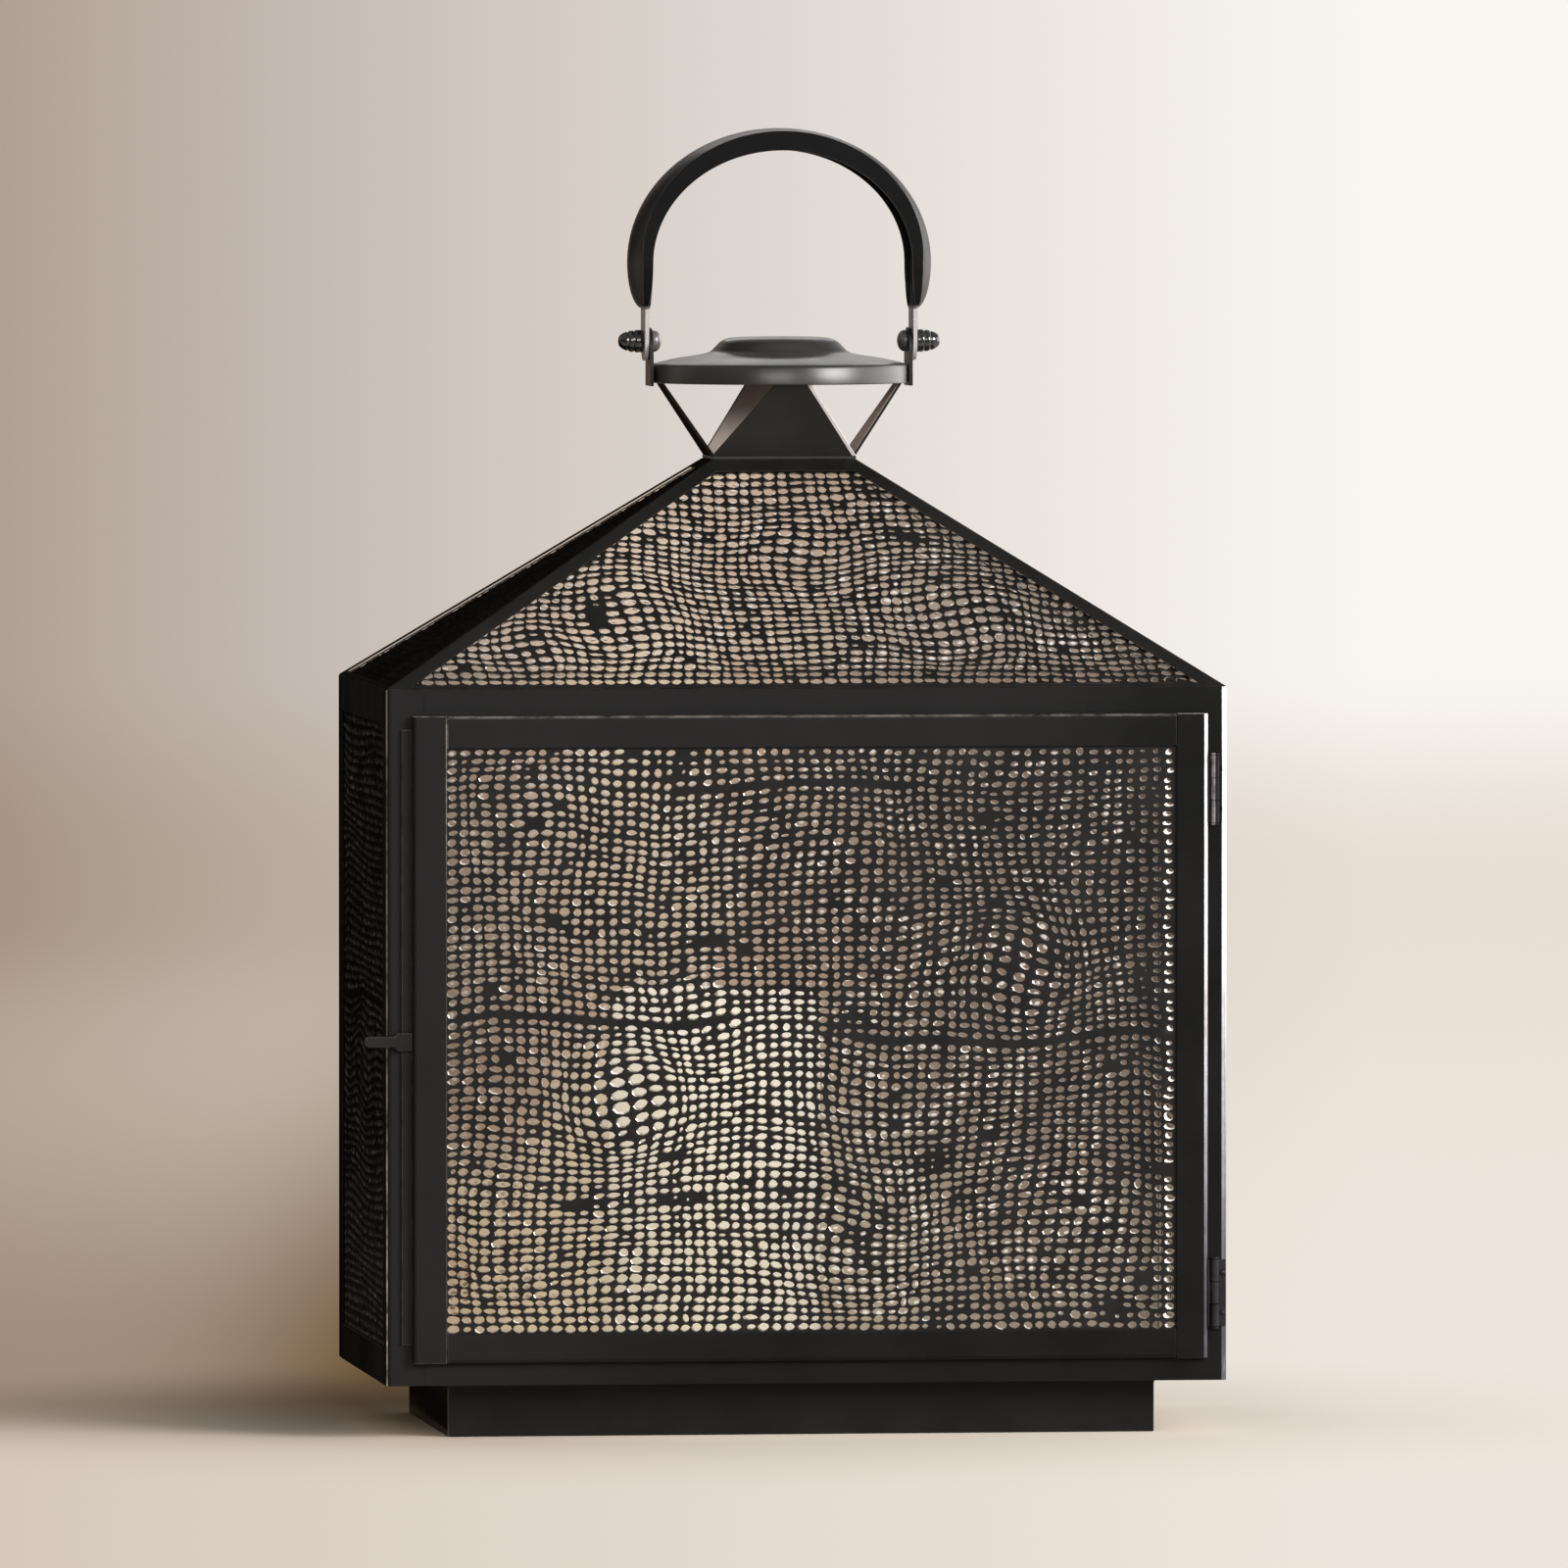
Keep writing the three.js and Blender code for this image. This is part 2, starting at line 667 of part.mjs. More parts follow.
function handleSection({ x, z, out, half, roll, crown }) {
  const place = (y, away) => new THREE.Vector3(x + out[0] * away, y, z + out[1] * away);
  const outer = [];
  const inner = [];
  const last = channel.length - 1;
  channel.forEach((share, i) => {
    const spread = lerp(Math.sin((i / last - 0.5) * Math.PI), share, roll);
    const rise = gripDepth - crown * share ** 2;
    const atEdge = i === 0 || i === last;
    outer.push(place(half * spread, lerp(strapThickness, atEdge ? 0 : rise, roll)));
    const innerHalf = half - roll * strapThickness;
    inner.push(place(innerHalf * spread, atEdge ? 0 : roll * (rise - strapThickness)));
  });
  return [...outer, ...inner.toReversed()];
}

function sectionCap(section) {
  const last = section.length - 1;
  return section
    .slice(0, section.length / 2 - 1)
    .flatMap((point, i) => quad(point, section[i + 1], section[last - i - 1], section[last - i]));
}

const sections = handleStations().map(handleSection);
const handleSkin = sections.slice(1).flatMap((section, i) => loopWall(sections[i], section));
const handleEnds = [
  ...sectionCap(sections[0]).map(([a, b, c]) => [a, c, b]),
  ...sectionCap(sections.at(-1)),
];
const handleBlank = solidOfTriangles([...handleSkin, ...handleEnds]);
const handleReach = archHalfWidth + gripWidth;
add(
  "handle",
  cut(handleBlank, rod(boltHoleRadius, "x", [0, pivotHeight], [-handleReach, handleReach])),
);

// Hinges: a leaf on the post, a leaf on the door's edge and a pin through their knuckles
const knuckleStarts = [0, 1, 2].map((i) => i * (knuckleLength + runningGap));
const knuckle = (bottom) =>
  rod(knuckleRadius, "z", [hingeX, hingeY], [bottom, bottom + knuckleLength], 24);
const pinHole = (bottom) => {
  const reach = [bottom - hingeLength, bottom + 2 * hingeLength];
  return rod(pinRadius + runningGap, "z", [hingeX, hingeY], reach, 16);
};

function frameLeaf(bottom) {
  const y = [leafFront, -halfDepth];
  const starts = [bottom + knuckleStarts[0], bottom + knuckleStarts[2]];
  const plate = box([leafStart, hingeX + leafWidth], y, [bottom, bottom + hingeLength]);
  const tongues = starts.map((z) => box([hingeX, leafStart + leafThickness], y, [z, z + knuckleLength]));
  const whole = joined(plate, ...tongues, ...starts.map(knuckle));
  return cut(whole, pinHole(bottom), ...rivetHeights.map(rivetHole));
}

function doorLeaf(bottom) {
  const plateX = [doorRight, doorRight + leafThickness];
  const plateY = [hingeY - doorLeafDepth / 2, hingeY + doorLeafDepth / 2];
  const plate = box(plateX, plateY, [bottom, bottom + hingeLength]);
  const start = bottom + knuckleStarts[1];
  const tongueY = [hingeY - leafThickness / 2, hingeY + leafThickness / 2];
  const tongue = box([doorRight, hingeX], tongueY, [start, start + knuckleLength]);
  return cut(joined(plate, tongue, knuckle(start)), pinHole(bottom));
}

function hingePin(bottom) {
  const low = bottom - runningGap;
  const high = bottom + hingeLength + runningGap;
  const profile = [
    [0, low - pinHeadHeight],
    [knuckleRadius * 0.7, low - pinHeadHeight],
    [knuckleRadius, low - pinHeadHeight / 2],
    [knuckleRadius, low],
    [pinRadius, low],
    [pinRadius, high],
    [knuckleRadius, high],
    [knuckleRadius, high + pinHeadHeight / 2],
    [knuckleRadius * 0.7, high + pinHeadHeight],
    [0, high + pinHeadHeight],
  ];
  return turned(profile, 16).rotateX(Math.PI).translate(hingeX, hingeY, 2 * bottom + hingeLength);
}

for (const [name, bottom] of Object.entries(hingeHeights)) {
  add(`${name}_hinge_frame_leaf`, frameLeaf(bottom), materials.steel);
  add(`${name}_hinge_door_leaf`, doorLeaf(bottom), materials.steel);
  add(`${name}_hinge_pin`, hingePin(bottom), materials.steel);
}

// Rivets of the frame leaves: a domed head in front and a shank through the leaf and the post
for (const { name, z } of rivetHeights) {
  const shankEnd = -leafThickness - frameSheet - rivetTail;
  const profile = [
    [0, shankEnd],
    [rivetShankRadius, shankEnd],
    [rivetShankRadius, 0],
    [rivetHeadRadius, 0],
    [rivetHeadRadius * 0.8, rivetHeadHeight * 0.7],
    [0, rivetHeadHeight],
  ];
  add(name, turned(profile, 14).rotateX(Math.PI / 2).translate(rivetX, leafFront, z), materials.steel);
}

// Door: two full-height stiles with rails between them, all bent angles with their edge at the rim
const doorSkinBack = doorFront + frameSheet;
const doorEdge = (place, leg) =>
  angleOutline(place, doorFront, leg, doorThickness, frameSheet, doorEdgeRadius);
const swapped = (outline) => outline.map(({ x, y }) => new THREE.Vector2(y, x));
add("door_left_stile", bar(doorEdge(doorLeft, leftStileWidth), "z", [doorBottom, doorTop]));
add("door_right_stile", bar(doorEdge(doorRight, -rightStileWidth), "z", [doorBottom, doorTop]));
const windowX = [doorLeft + leftStileWidth, doorRight - rightStileWidth];
const windowZ = [doorBottom + bottomRailWidth, doorTop - topRailWidth];
add("door_top_rail", bar(swapped(doorEdge(doorTop, -topRailWidth)), "x", windowX));
add("door_bottom_rail", bar(swapped(doorEdge(doorBottom, bottomRailWidth)), "x", windowX));
const doorSheetBack = doorSkinBack + patternSheet;
const plainDoorSheet = box(
  [windowX[0] - patternLanding, windowX[1] + patternLanding],
  [doorSkinBack, doorSheetBack],
  [windowZ[0] - patternLanding, windowZ[1] + patternLanding],
);
const windowHalf = (windowX[1] - windowX[0]) / 2;
const windowMiddle = (windowX[0] + windowX[1]) / 2;
add(
  "door_perforated_sheet",
  perforatedWall(plainDoorSheet, 0, windowHalf, windowMiddle, windowZ, -doorSkinBack),
  materials.pattern,
);

// A flat closing flange beside the left stile, and the pull tab on top of it
const flangeY = [doorBack - flangeThickness, doorBack];
const flangeZ = [doorBottom + flangeLift, doorTop - flangeDrop];
add("door_closing_flange", box([doorLeft - flangeWidth, doorLeft], flangeY, flangeZ));

function tabOutline() {
  const tip = tabWidth / 2;
  const footEnd = doorLeft - tabFootLength;
  const middle = doorLeft - tabLength + tip;
  const outline = new THREE.Shape();
  outline.moveTo(tabHeight - tabFootWidth / 2, doorLeft);
  outline.lineTo(tabHeight - tabFootWidth / 2, footEnd);
  outline.lineTo(tabHeight - tip, footEnd - (tabFootWidth - tabWidth) / 2);
  outline.lineTo(tabHeight - tip, middle);
  outline.absarc(tabHeight, middle, tip, Math.PI, 2 * Math.PI);
  outline.lineTo(tabHeight + tip, footEnd - (tabFootWidth - tabWidth) / 2);
  outline.lineTo(tabHeight + tabFootWidth / 2, footEnd);
  outline.lineTo(tabHeight + tabFootWidth / 2, doorLeft);
  return outline;
}
add("door_pull_tab", bar(tabOutline(), "y", [flangeY[0] - tabThickness, flangeY[0]], 12));

// Magnet catch: the magnet on the left post's edge, the strike on the back of the door's stile
const besideOpening = (width) => [openingLeft, openingLeft + width];
const catchHeight = (length) => [tabHeight - length / 2, tabHeight + length / 2];
add(
  "catch_magnet",
  box(
    besideOpening(magnetWidth),
    [-halfDepth + runningGap, -halfDepth + runningGap + magnetThickness],
    catchHeight(magnetLength),
  ),
  materials.steel,
);
add(
  "catch_strike",
  box(
    besideOpening(strikeWidth).map((x) => x + runningGap),
    [doorSheetBack, doorSheetBack + strikeThickness],
    catchHeight(strikeLength),
  ),
  materials.steel,
);

// Candle, standing loose on the floor pan, with its wick in a hole
const candleTop = floorTop + candleHeight;
const wickFoot = candleTop - dishDepth - wickDepth;
const wickHoleRadius = wickRadius + weldGap;
const candleProfile = [
  [0, floorTop],
  [candleRadius - candleEdgeRadius / 2, floorTop],
  [candleRadius, floorTop + candleEdgeRadius / 2],
  [candleRadius, candleTop - candleEdgeRadius],
  [candleRadius - candleEdgeRadius * 0.3, candleTop - candleEdgeRadius * 0.3],
  [candleRadius - candleEdgeRadius, candleTop],
  [candleRadius - 2 * candleEdgeRadius, candleTop - dishDepth * 0.4],
  [candleRadius - 4 * candleEdgeRadius, candleTop - dishDepth],
  [wickHoleRadius, candleTop - dishDepth],
  [wickHoleRadius, wickFoot],
  [0, wickFoot],
];
add("candle", turned(candleProfile, 48).translate(candleX, 0, 0), materials.wax);
const wickReach = [wickFoot + weldGap, candleTop + wickHeight];
add("wick", rod(wickRadius, "z", [candleX, 0], wickReach, 10), materials.wick);

export default lantern;
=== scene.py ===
"""A black sheet-metal lantern with pierced reptile-skin panels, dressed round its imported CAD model.

Metres, +Z up, the door faces -Y. New pieces are worked out with numpy from the places of the CAD
nodes. The other sheet-metal nodes are shown as merged copies with softened edges.
"""
import math

import bmesh
import bpy
import numpy as np
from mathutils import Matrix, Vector


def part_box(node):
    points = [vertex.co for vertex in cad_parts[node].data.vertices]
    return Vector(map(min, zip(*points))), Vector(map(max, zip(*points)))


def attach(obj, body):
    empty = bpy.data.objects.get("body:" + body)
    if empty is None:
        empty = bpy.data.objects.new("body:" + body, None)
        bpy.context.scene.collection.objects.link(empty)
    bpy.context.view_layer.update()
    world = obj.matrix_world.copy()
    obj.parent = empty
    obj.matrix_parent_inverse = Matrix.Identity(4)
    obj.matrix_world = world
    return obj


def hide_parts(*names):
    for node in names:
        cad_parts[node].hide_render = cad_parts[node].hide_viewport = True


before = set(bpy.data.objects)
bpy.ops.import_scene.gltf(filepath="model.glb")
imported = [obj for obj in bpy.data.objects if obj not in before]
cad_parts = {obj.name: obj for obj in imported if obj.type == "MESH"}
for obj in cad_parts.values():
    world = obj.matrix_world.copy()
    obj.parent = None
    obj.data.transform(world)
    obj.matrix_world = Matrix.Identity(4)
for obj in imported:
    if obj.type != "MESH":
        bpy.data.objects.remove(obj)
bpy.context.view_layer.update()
scene = bpy.context.scene
scene.view_settings.view_transform = "Standard"

# Sizes, in metres where nothing else is said
WALL_LANDING = 0.005  # how far a wall sheet laps behind its frame
ROOF_LANDING = 0.0015
CELL_WIDTH = 0.00472  # the pattern's mean pitch
CELL_HEIGHT = 0.00338
# Painted glint: how brightly each of the eight walls round a hole shows, from bare metal to a glow
WALL_PAINTED_GLINT = (1.2, 0.8, 0.2, 0.1, 0.1, 0.2, 0.6, 1.2)  # round a hole, from its lower left
HOLE_LEAN = (0.13, 0.11)  # how far right and up a hole leans towards its back, in half cells
HOLE_SHAPE = (1.04, 0.97)  # a hole's share of its cell's width and height, against each other
UNEVEN = 0.08  # how much the strips of the pattern differ in width
PATTERN_WAVE = 0.05  # how steeply slow waves push the pattern
BORDER_FADE = 0.016  # how far inside a sheet's border the pattern moves freely
SHAKE = (0.075, 0.045)  # how far a point of the pattern strays, in cells
LARGEST_HOLE = 0.92  # share of its cell
HOLE_TAPER = 0.1  # how much larger a hole is in front than behind, as a share of its cell
CRACK_GAP = 0.3  # how much wider two rows are where they part
CRACK_SIZE = 0.74  # how much lower their holes are there
CELLS_TO_A_BARE_SPOT = 330
BARE_SPOT = (2.6, 1.2)  # a bare spot's length and width, in half cells
BARE_CHANCE = 0.004  # share of the cells that stay bare by themselves
NEAR_BARE = (0.42, 0.6, 2.2)  # hole size near a bare spot, and from where to where it grows to 1
SIZE_SPREAD = 0.12  # how much the holes differ in size
OUTLINE_SPREAD = 0.05  # how uneven their outlines are
GLINT_SPREAD = 0.6  # how much they differ in glint
SMALL_CHANCE = 0.07  # share of the holes that are smaller, by SMALL_SIZE
SMALL_SIZE = (0.5, 0.75)
ROUNDNESS = (1.7, 2.15)  # how square the holes are, where 1 is a diamond and 2 is an oval
TILT = 0.1  # how far they tilt, in radians
LAST_LEAN = 2.4  # how much more the holes in the door's last column lean
# The door's last column of holes carries a brighter painted glint
LAST_GLINT = 4  # how much brighter they are
STRAP_THICKNESS = 0.0015
STRAP_WIDTH = 0.0145
GRIP_WIDTH = 0.026
GRIP_DEPTH = 0.0082
ARCH_HALF_WIDTH = 0.0564
ARCH_MIDDLE = 0.429
ARCH_RISE = 0.0496
LEAF_LENGTH = 0.017
STRAP_INNER = 0.0491
PIVOT_HEIGHT = 0.4
BOLT_RADIUS = 0.0016
PIVOT_CLEARANCE = 0.0003
CAP_RADIUS = 0.0472
CAP_SHEET = 0.0012
LID_RISE = 0.01
FINIAL_RADIUS = 0.00425
FINIAL_LENGTH = 0.009
FINIAL_BORE = 0.0048
BOLT_HEAD = 0.0033
RIVET_HEAD = 0.00045
RIVET_SHANK = 0.0005
COVE_RADIUS = 0.0022
COVE_GAP = 0.00005
COVE_LAP = 0.0004
RIM_EDGE = 0.0003
CANDLE_EDGE = 0.003
WAX_UNEVEN = 0.0035  # share of the radius
STRANDS = 3
STRAND_TWIST = 1500  # radians to a metre of wick
WICK_HOLE = (0.0015, 0.0145)  # radius and depth
FLAT_FLOOR = 14.5
FLOOR_BEND = 1.6
WALL_TOP = 5.0
STAGE_TURN = 6.87  # degrees, as the camera sees the lantern
RAIL_EDGE = 0.00012  # how wide the rails' edges are rounded
POST_EDGE = 0.0005
CROWN_AT_LEGS = 0.0044
CROWN_AT_TOP = 0.001
HINGE_LIGHT = (0.1486, 0.1501)  # where the upper hinge's barrel catches the light


# Shapes


def smoothstep(low, high, value):
    """0 below low, 1 above high, and 3t^2 - 2t^3 between them."""
    t = np.clip((value - low) / (high - low), 0, 1)
    return t * t * (3 - 2 * t)


def mesh_object(name, points, faces, body, materials, smooth=50):
    """Makes one object from an n x 3 array of points and a list of faces, rows of their numbers.

    Edges sharper than smooth degrees stay crisp. Without a body, as for the studio's pieces, it
    stays unattached.
    """
    mesh = bpy.data.meshes.new(name)
    mesh.from_pydata(points.tolist(), [], faces)
    mesh.validate()
    mesh.shade_smooth()
    mesh.set_sharp_from_angle(angle=math.radians(smooth))
    made = bpy.data.objects.new(name, mesh)
    scene.collection.objects.link(made)
    for material in materials:
        mesh.materials.append(material)
    if body:
        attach(made, body)
    return made


def tidy_mesh(mesh, recalculate=True, flat=False, smooth=50):
    """Merges doubles, turns normals outwards and, where flat is set, joins coplanar triangles."""
    work = bmesh.new()
    work.from_mesh(mesh)
    bmesh.ops.remove_doubles(work, verts=work.verts, dist=2e-6)
    if flat:
        bmesh.ops.dissolve_limit(
            work, angle_limit=math.radians(0.5), verts=work.verts, edges=work.edges
        )
    if recalculate:
        bmesh.ops.recalc_face_normals(work, faces=work.faces)
    work.to_mesh(mesh)
    work.free()
    mesh.shade_smooth()
    mesh.set_sharp_from_angle(angle=math.radians(smooth))


def soften(made, width, segments=2, angle=30):
    """Rounds every edge sharper than angle degrees, and gives the rounding the last material."""
    bevel = made.modifiers.new("softened_edges", "BEVEL")
    bevel.width = width
    bevel.segments = segments
    bevel.limit_method = "ANGLE"
    bevel.angle_limit = math.radians(angle)
    bevel.harden_normals = True
    bevel.material = len(made.data.materials) - 1


def mark_corner(mesh, material, side, radius, least, most):
    """Gives a material to part of a rounded upright corner at the front.

    side is 1 for the right corner and -1 for the left. Of the faces within radius of it, those are
    taken whose normal leans sideways by least to most.
    """
    mesh.materials.append(mesh.materials[1])
    mesh.materials[1] = material
    outer = max(vertex.co.x * side for vertex in mesh.vertices)
    front = min(vertex.co.y for vertex in mesh.vertices)
    for face in mesh.polygons:
        beside = face.center.x * side > outer - radius and face.center.y < front + radius
        if beside and least < face.normal.x * side < most:
            face.material_index = 1


def dressed(node, body, materials, width=0.0003, segments=2, corner=None):
    """Shows a CAD node as a merged copy whose edges are softened.

    materials are the paint and, where it differs, that of the softened edges, which on many pieces
    carries a painted highlight line. corner, where given, is what mark_corner needs.
    """
    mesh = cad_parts[node].data.copy()
    mesh.name = node + "_metal"
    mesh.materials.clear()
    for material in materials:
        mesh.materials.append(material)
    tidy_mesh(mesh, recalculate=False, flat=True, smooth=30)
    if corner:
        mark_corner(mesh, *corner)
    made = bpy.data.objects.new(node + "_metal", mesh)
    scene.collection.objects.link(made)
    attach(made, body)
    soften(made, width, segments)
    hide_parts(node)


def ring_faces(rows, columns, closed_rows=False):
    """Quads over a grid of points whose columns close on themselves, and whose rows may too."""
    row = np.arange(rows if closed_rows else rows - 1)
    column = np.arange(columns)
    r, c = np.meshgrid(row, column, indexing="ij")
    below, right = (r + 1) % rows, (c + 1) % columns
    corners = [r * columns + c, r * columns + right, below * columns + right, below * columns + c]
    return np.stack([corner.ravel() for corner in corners], axis=1).tolist()


def carried(name, sections, body, materials, closed=False, smooth=50):
    """Skins an m x k x 3 array of sections, each a closed loop of k points, and caps both ends."""
    rows, columns, _ = sections.shape
    faces = ring_faces(rows, columns, closed)
    if not closed:
        faces.append(list(range(columns))[::-1])
        faces.append([(rows - 1) * columns + i for i in range(columns)])
    made = mesh_object(name, sections.reshape(-1, 3), faces, body, materials, smooth)
    tidy_mesh(made.data, smooth=smooth)
    return made


def turned(name, profile, base, axis, body, materials, steps=64, ripple=None, smooth=40):
    """Turns a profile of (radius, height) about an axis through base.

    A point is base + radius (cos t u + sin t v) + height axis, with u and v square to the axis.
    ripple, where given, scales the radius as a function of turn and height.
    """
    axis = np.array(axis, float)
    u = np.array([0, 1, 0] if abs(axis[0]) > 0.5 else [1, 0, 0], float)
    v = np.cross(axis, u)
    turn = np.linspace(0, 2 * math.pi, steps, endpoint=False)
    radius, height = np.asarray(profile, float).T
    reach = radius[:, None] * np.ones_like(turn)
    if ripple:
        reach = reach * ripple(turn[None, :], height[:, None])
    round_about = np.cos(turn)[:, None] * u + np.sin(turn)[:, None] * v
    points = np.array(base) + reach[..., None] * round_about + height[:, None, None] * axis
    made = mesh_object(
        name, points.reshape(-1, 3), ring_faces(len(radius), steps), body, materials, smooth
    )
    tidy_mesh(made.data, smooth=smooth)
    return made


def dome(radius, foot, rise, steps):
    """A quarter ellipse, as (radius, height): from the axis at foot out to radius at foot + rise."""
    turn = np.linspace(0, math.pi / 2, steps)
    return np.stack([radius * np.sin(turn), foot + rise * (1 - np.cos(turn))], axis=1)


def mirrored(half, sign=1):
    """A column of values along the first half of a strip, and back along the other half."""
    return np.concatenate([half, sign * half[-2::-1]])[:, None]


def rounded(points, steps=5):
    """Passes a Catmull-Rom curve through the points, with steps pieces between two of them."""
    p = np.asarray(points, float)
    padded = np.vstack([2 * p[0] - p[1], p, 2 * p[-1] - p[-2]])
    t = np.linspace(0, 1, steps, endpoint=False)[None, :, None]
    a, b, c, d = (padded[i : i + len(p) - 1, None, :] for i in range(4))
    curve = 0.5 * (
        2 * b + (c - a) * t + (2 * a - 5 * b + 4 * c - d) * t**2 + (3 * b - a - 3 * c + d) * t**3
    )
    return np.vstack([curve.reshape(-1, p.shape[1]), p[-1]])


# The pierced skin


def sheet_corners(node, across):
    """Finds a sheet's outer corners, bottom left, bottom right, top right and top left, and its
    thickness square to its face. across points right as seen from outside."""
    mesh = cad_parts[node].data
    points = np.array([vertex.co for vertex in mesh.vertices])
    across = np.array(across, float)
    outward = np.cross(across, [0, 0, 1])
    middle = points.mean(0)

    def pick(side, level, outer):
        height = points[:, 2]
        at_level = np.abs(height - (height.max() if level > 0 else height.min())) < 1e-5
        at_side = (points - middle) @ across * side > 0
        chosen = points[at_level & at_side]
        return chosen[np.argmax(chosen @ outward * outer)]

    outer = [pick(*corner, 1) for corner in ((-1, -1), (1, -1), (1, 1), (-1, 1))]
    up = outer[3] + outer[2] - outer[1] - outer[0]
    up /= np.linalg.norm(up)
    normal = np.cross(across, up)
    depth = (outer[0] - pick(-1, -1, -1)) @ normal
    return np.array(outer), up, normal, depth


def uneven_lines(count, length, along, random, wider=0):
    """Shares a length out among count strips, at each place along them, and gives their borders.

    A strip's share is 1 + UNEVEN sin(2 pi along / wave + phase), plus what wider adds to it.
    """
    wave = random.uniform(0.07, 0.3, (count, 1))
    phase = random.uniform(0, 2 * math.pi, (count, 1))
    share = 1 + UNEVEN * np.sin(2 * math.pi * along / wave + phase) + wider
    share = share + random.normal(0, UNEVEN / 2, (count, 1))
    lines = np.vstack([np.zeros(len(along)), np.cumsum(share, axis=0)])
    return lines / lines[-1] * length


def skin_warp(across, up, size, seed, whorls):
    """Moves the pattern's points: slow sine waves, with each whorl swelling and twisting what lies
    round it by a bell curve of distance. The movement fades out towards the border."""
    random = np.random.default_rng(seed)
    moved = [across.copy(), up.copy()]
    lengths = np.array([0.13, 0.085, 0.055, 0.036])
    for direction in range(2):
        for length in lengths:
            angle = random.uniform(0, 2 * math.pi)
            phase = random.uniform(0, 2 * math.pi)
            run = (across * math.cos(angle) + up * math.sin(angle)) * 2 * math.pi / length
            strength = PATTERN_WAVE * math.sqrt(length / lengths[2])
            moved[direction] += strength * length / 2 / math.pi * np.sin(run + phase)
    for x, y, reach, swell, twist in whorls:
        bell = np.exp(-(((across - x) ** 2 + (up - y) ** 2) / reach**2))
        dx, dy = across - x, up - y
        turn = twist * bell
        moved[0] += bell * (swell * dx) + (np.cos(turn) - 1) * dx - np.sin(turn) * dy
        moved[1] += bell * (swell * dy) + np.sin(turn) * dx + (np.cos(turn) - 1) * dy
    border = np.minimum.reduce([across, size[0] - across, up, size[1] - up])
    keep = smoothstep(0, BORDER_FADE, border)
    return across + keep * (moved[0] - across), up + keep * (moved[1] - up)


def pattern_grid(window, random, seed, whorls, cracks):
    """Lays out the pattern's points, two to a cell each way: uneven strips, warped and shaken.

    Two rows draw apart along each crack (row, from, to).
    """
    columns = round(window[0] / CELL_WIDTH)
    rows = round(window[1] / CELL_HEIGHT)
    along_rows = np.linspace(0, 1, 2 * columns + 1)
    along_columns = np.linspace(0, 1, 2 * rows + 1)
    parted = np.zeros((rows, len(along_rows)))
    for row, start, end in cracks:
        there = smoothstep(start - 0.04, start, along_rows) * smoothstep(end + 0.04, end, along_rows)
        parted[row : row + 2] += CRACK_GAP * there
    upright = uneven_lines(columns, window[0], along_columns * window[1], random)
    level = uneven_lines(rows, window[1], along_rows * window[0], random, parted).T
    grid = np.empty((2, 2 * columns + 1, 2 * rows + 1))
    grid[0, 0::2] = upright
    grid[0, 1::2] = (upright[1:] + upright[:-1]) / 2
    grid[1, :, 0::2] = level
    grid[1, :, 1::2] = (level[:, 1:] + level[:, :-1]) / 2
    grid = np.stack(skin_warp(*grid, window, seed, whorls))
    shake = random.normal(0, 1, grid.shape)
    reach = np.multiply(SHAKE, (CELL_WIDTH, CELL_HEIGHT))[:, None, None]
    grid[:, 2:-2, 2:-2] += shake[:, 2:-2, 2:-2] * reach
    return grid


def powered(value, power):
    """sign(v) |v|^power, with what is all but zero taken as zero."""
    return np.sign(value) * np.abs(value) ** power * (np.abs(value) > 1e-6)


def quads(*corner):
    """Rows of four corners, from four arrays of them."""
    return np.stack(corner, axis=-1).reshape(-1, 4)


def distance_from_bare(place, random):
    """How far each cell lies from the nearest bare spot, an oval lying at random: 1 at its edge."""
    spots = place[random.integers(0, len(place), len(place) // CELLS_TO_A_BARE_SPOT)]
    long_way = random.uniform(0, math.pi, len(spots))
    apart = place[:, None] - spots
    ahead = apart[..., 0] * np.cos(long_way) + apart[..., 1] * np.sin(long_way)
    aside = apart[..., 1] * np.cos(long_way) - apart[..., 0] * np.sin(long_way)
    return np.hypot(ahead / BARE_SPOT[0], aside / BARE_SPOT[1]).min(1)


def hole_sizes(u, v, row, hole, from_bare, cracks, random):
    """How wide and high each hole is and how far it is shifted, as shares of half its cell.

    The size changes evenly between the four of hole: at the foot's left and right, and at the
    top's. Holes are smaller near a bare spot, and lower and drawn apart along a crack.
    """
    cells = len(u)
    level = (hole[0] * (1 - u) + hole[1] * u) * (1 - v) + (hole[2] * (1 - u) + hole[3] * u) * v
    size = level[:, None] * HOLE_SHAPE * np.exp(random.normal(0, SIZE_SPREAD, (cells, 2)))
    size = np.minimum(size, LARGEST_HOLE)
    is_small = random.random(cells) < SMALL_CHANCE
    size *= np.where(is_small, random.uniform(*SMALL_SIZE, cells), 1)[:, None]
    least, near, far = NEAR_BARE
    size *= (least + (1 - least) * smoothstep(near, far, from_bare))[:, None]
    shift = random.uniform(-0.6, 0.6, (cells, 2)) * (LARGEST_HOLE - size)
    for crack, start, end in cracks:
        beside = (u > start) & (u < end)
        for step, way in ((0, -1), (1, 1)):
            here = beside & (row == crack + step)
            size[here, 1] *= CRACK_SIZE
            shift[here, 1] = 0.2 * way
    return size, shift


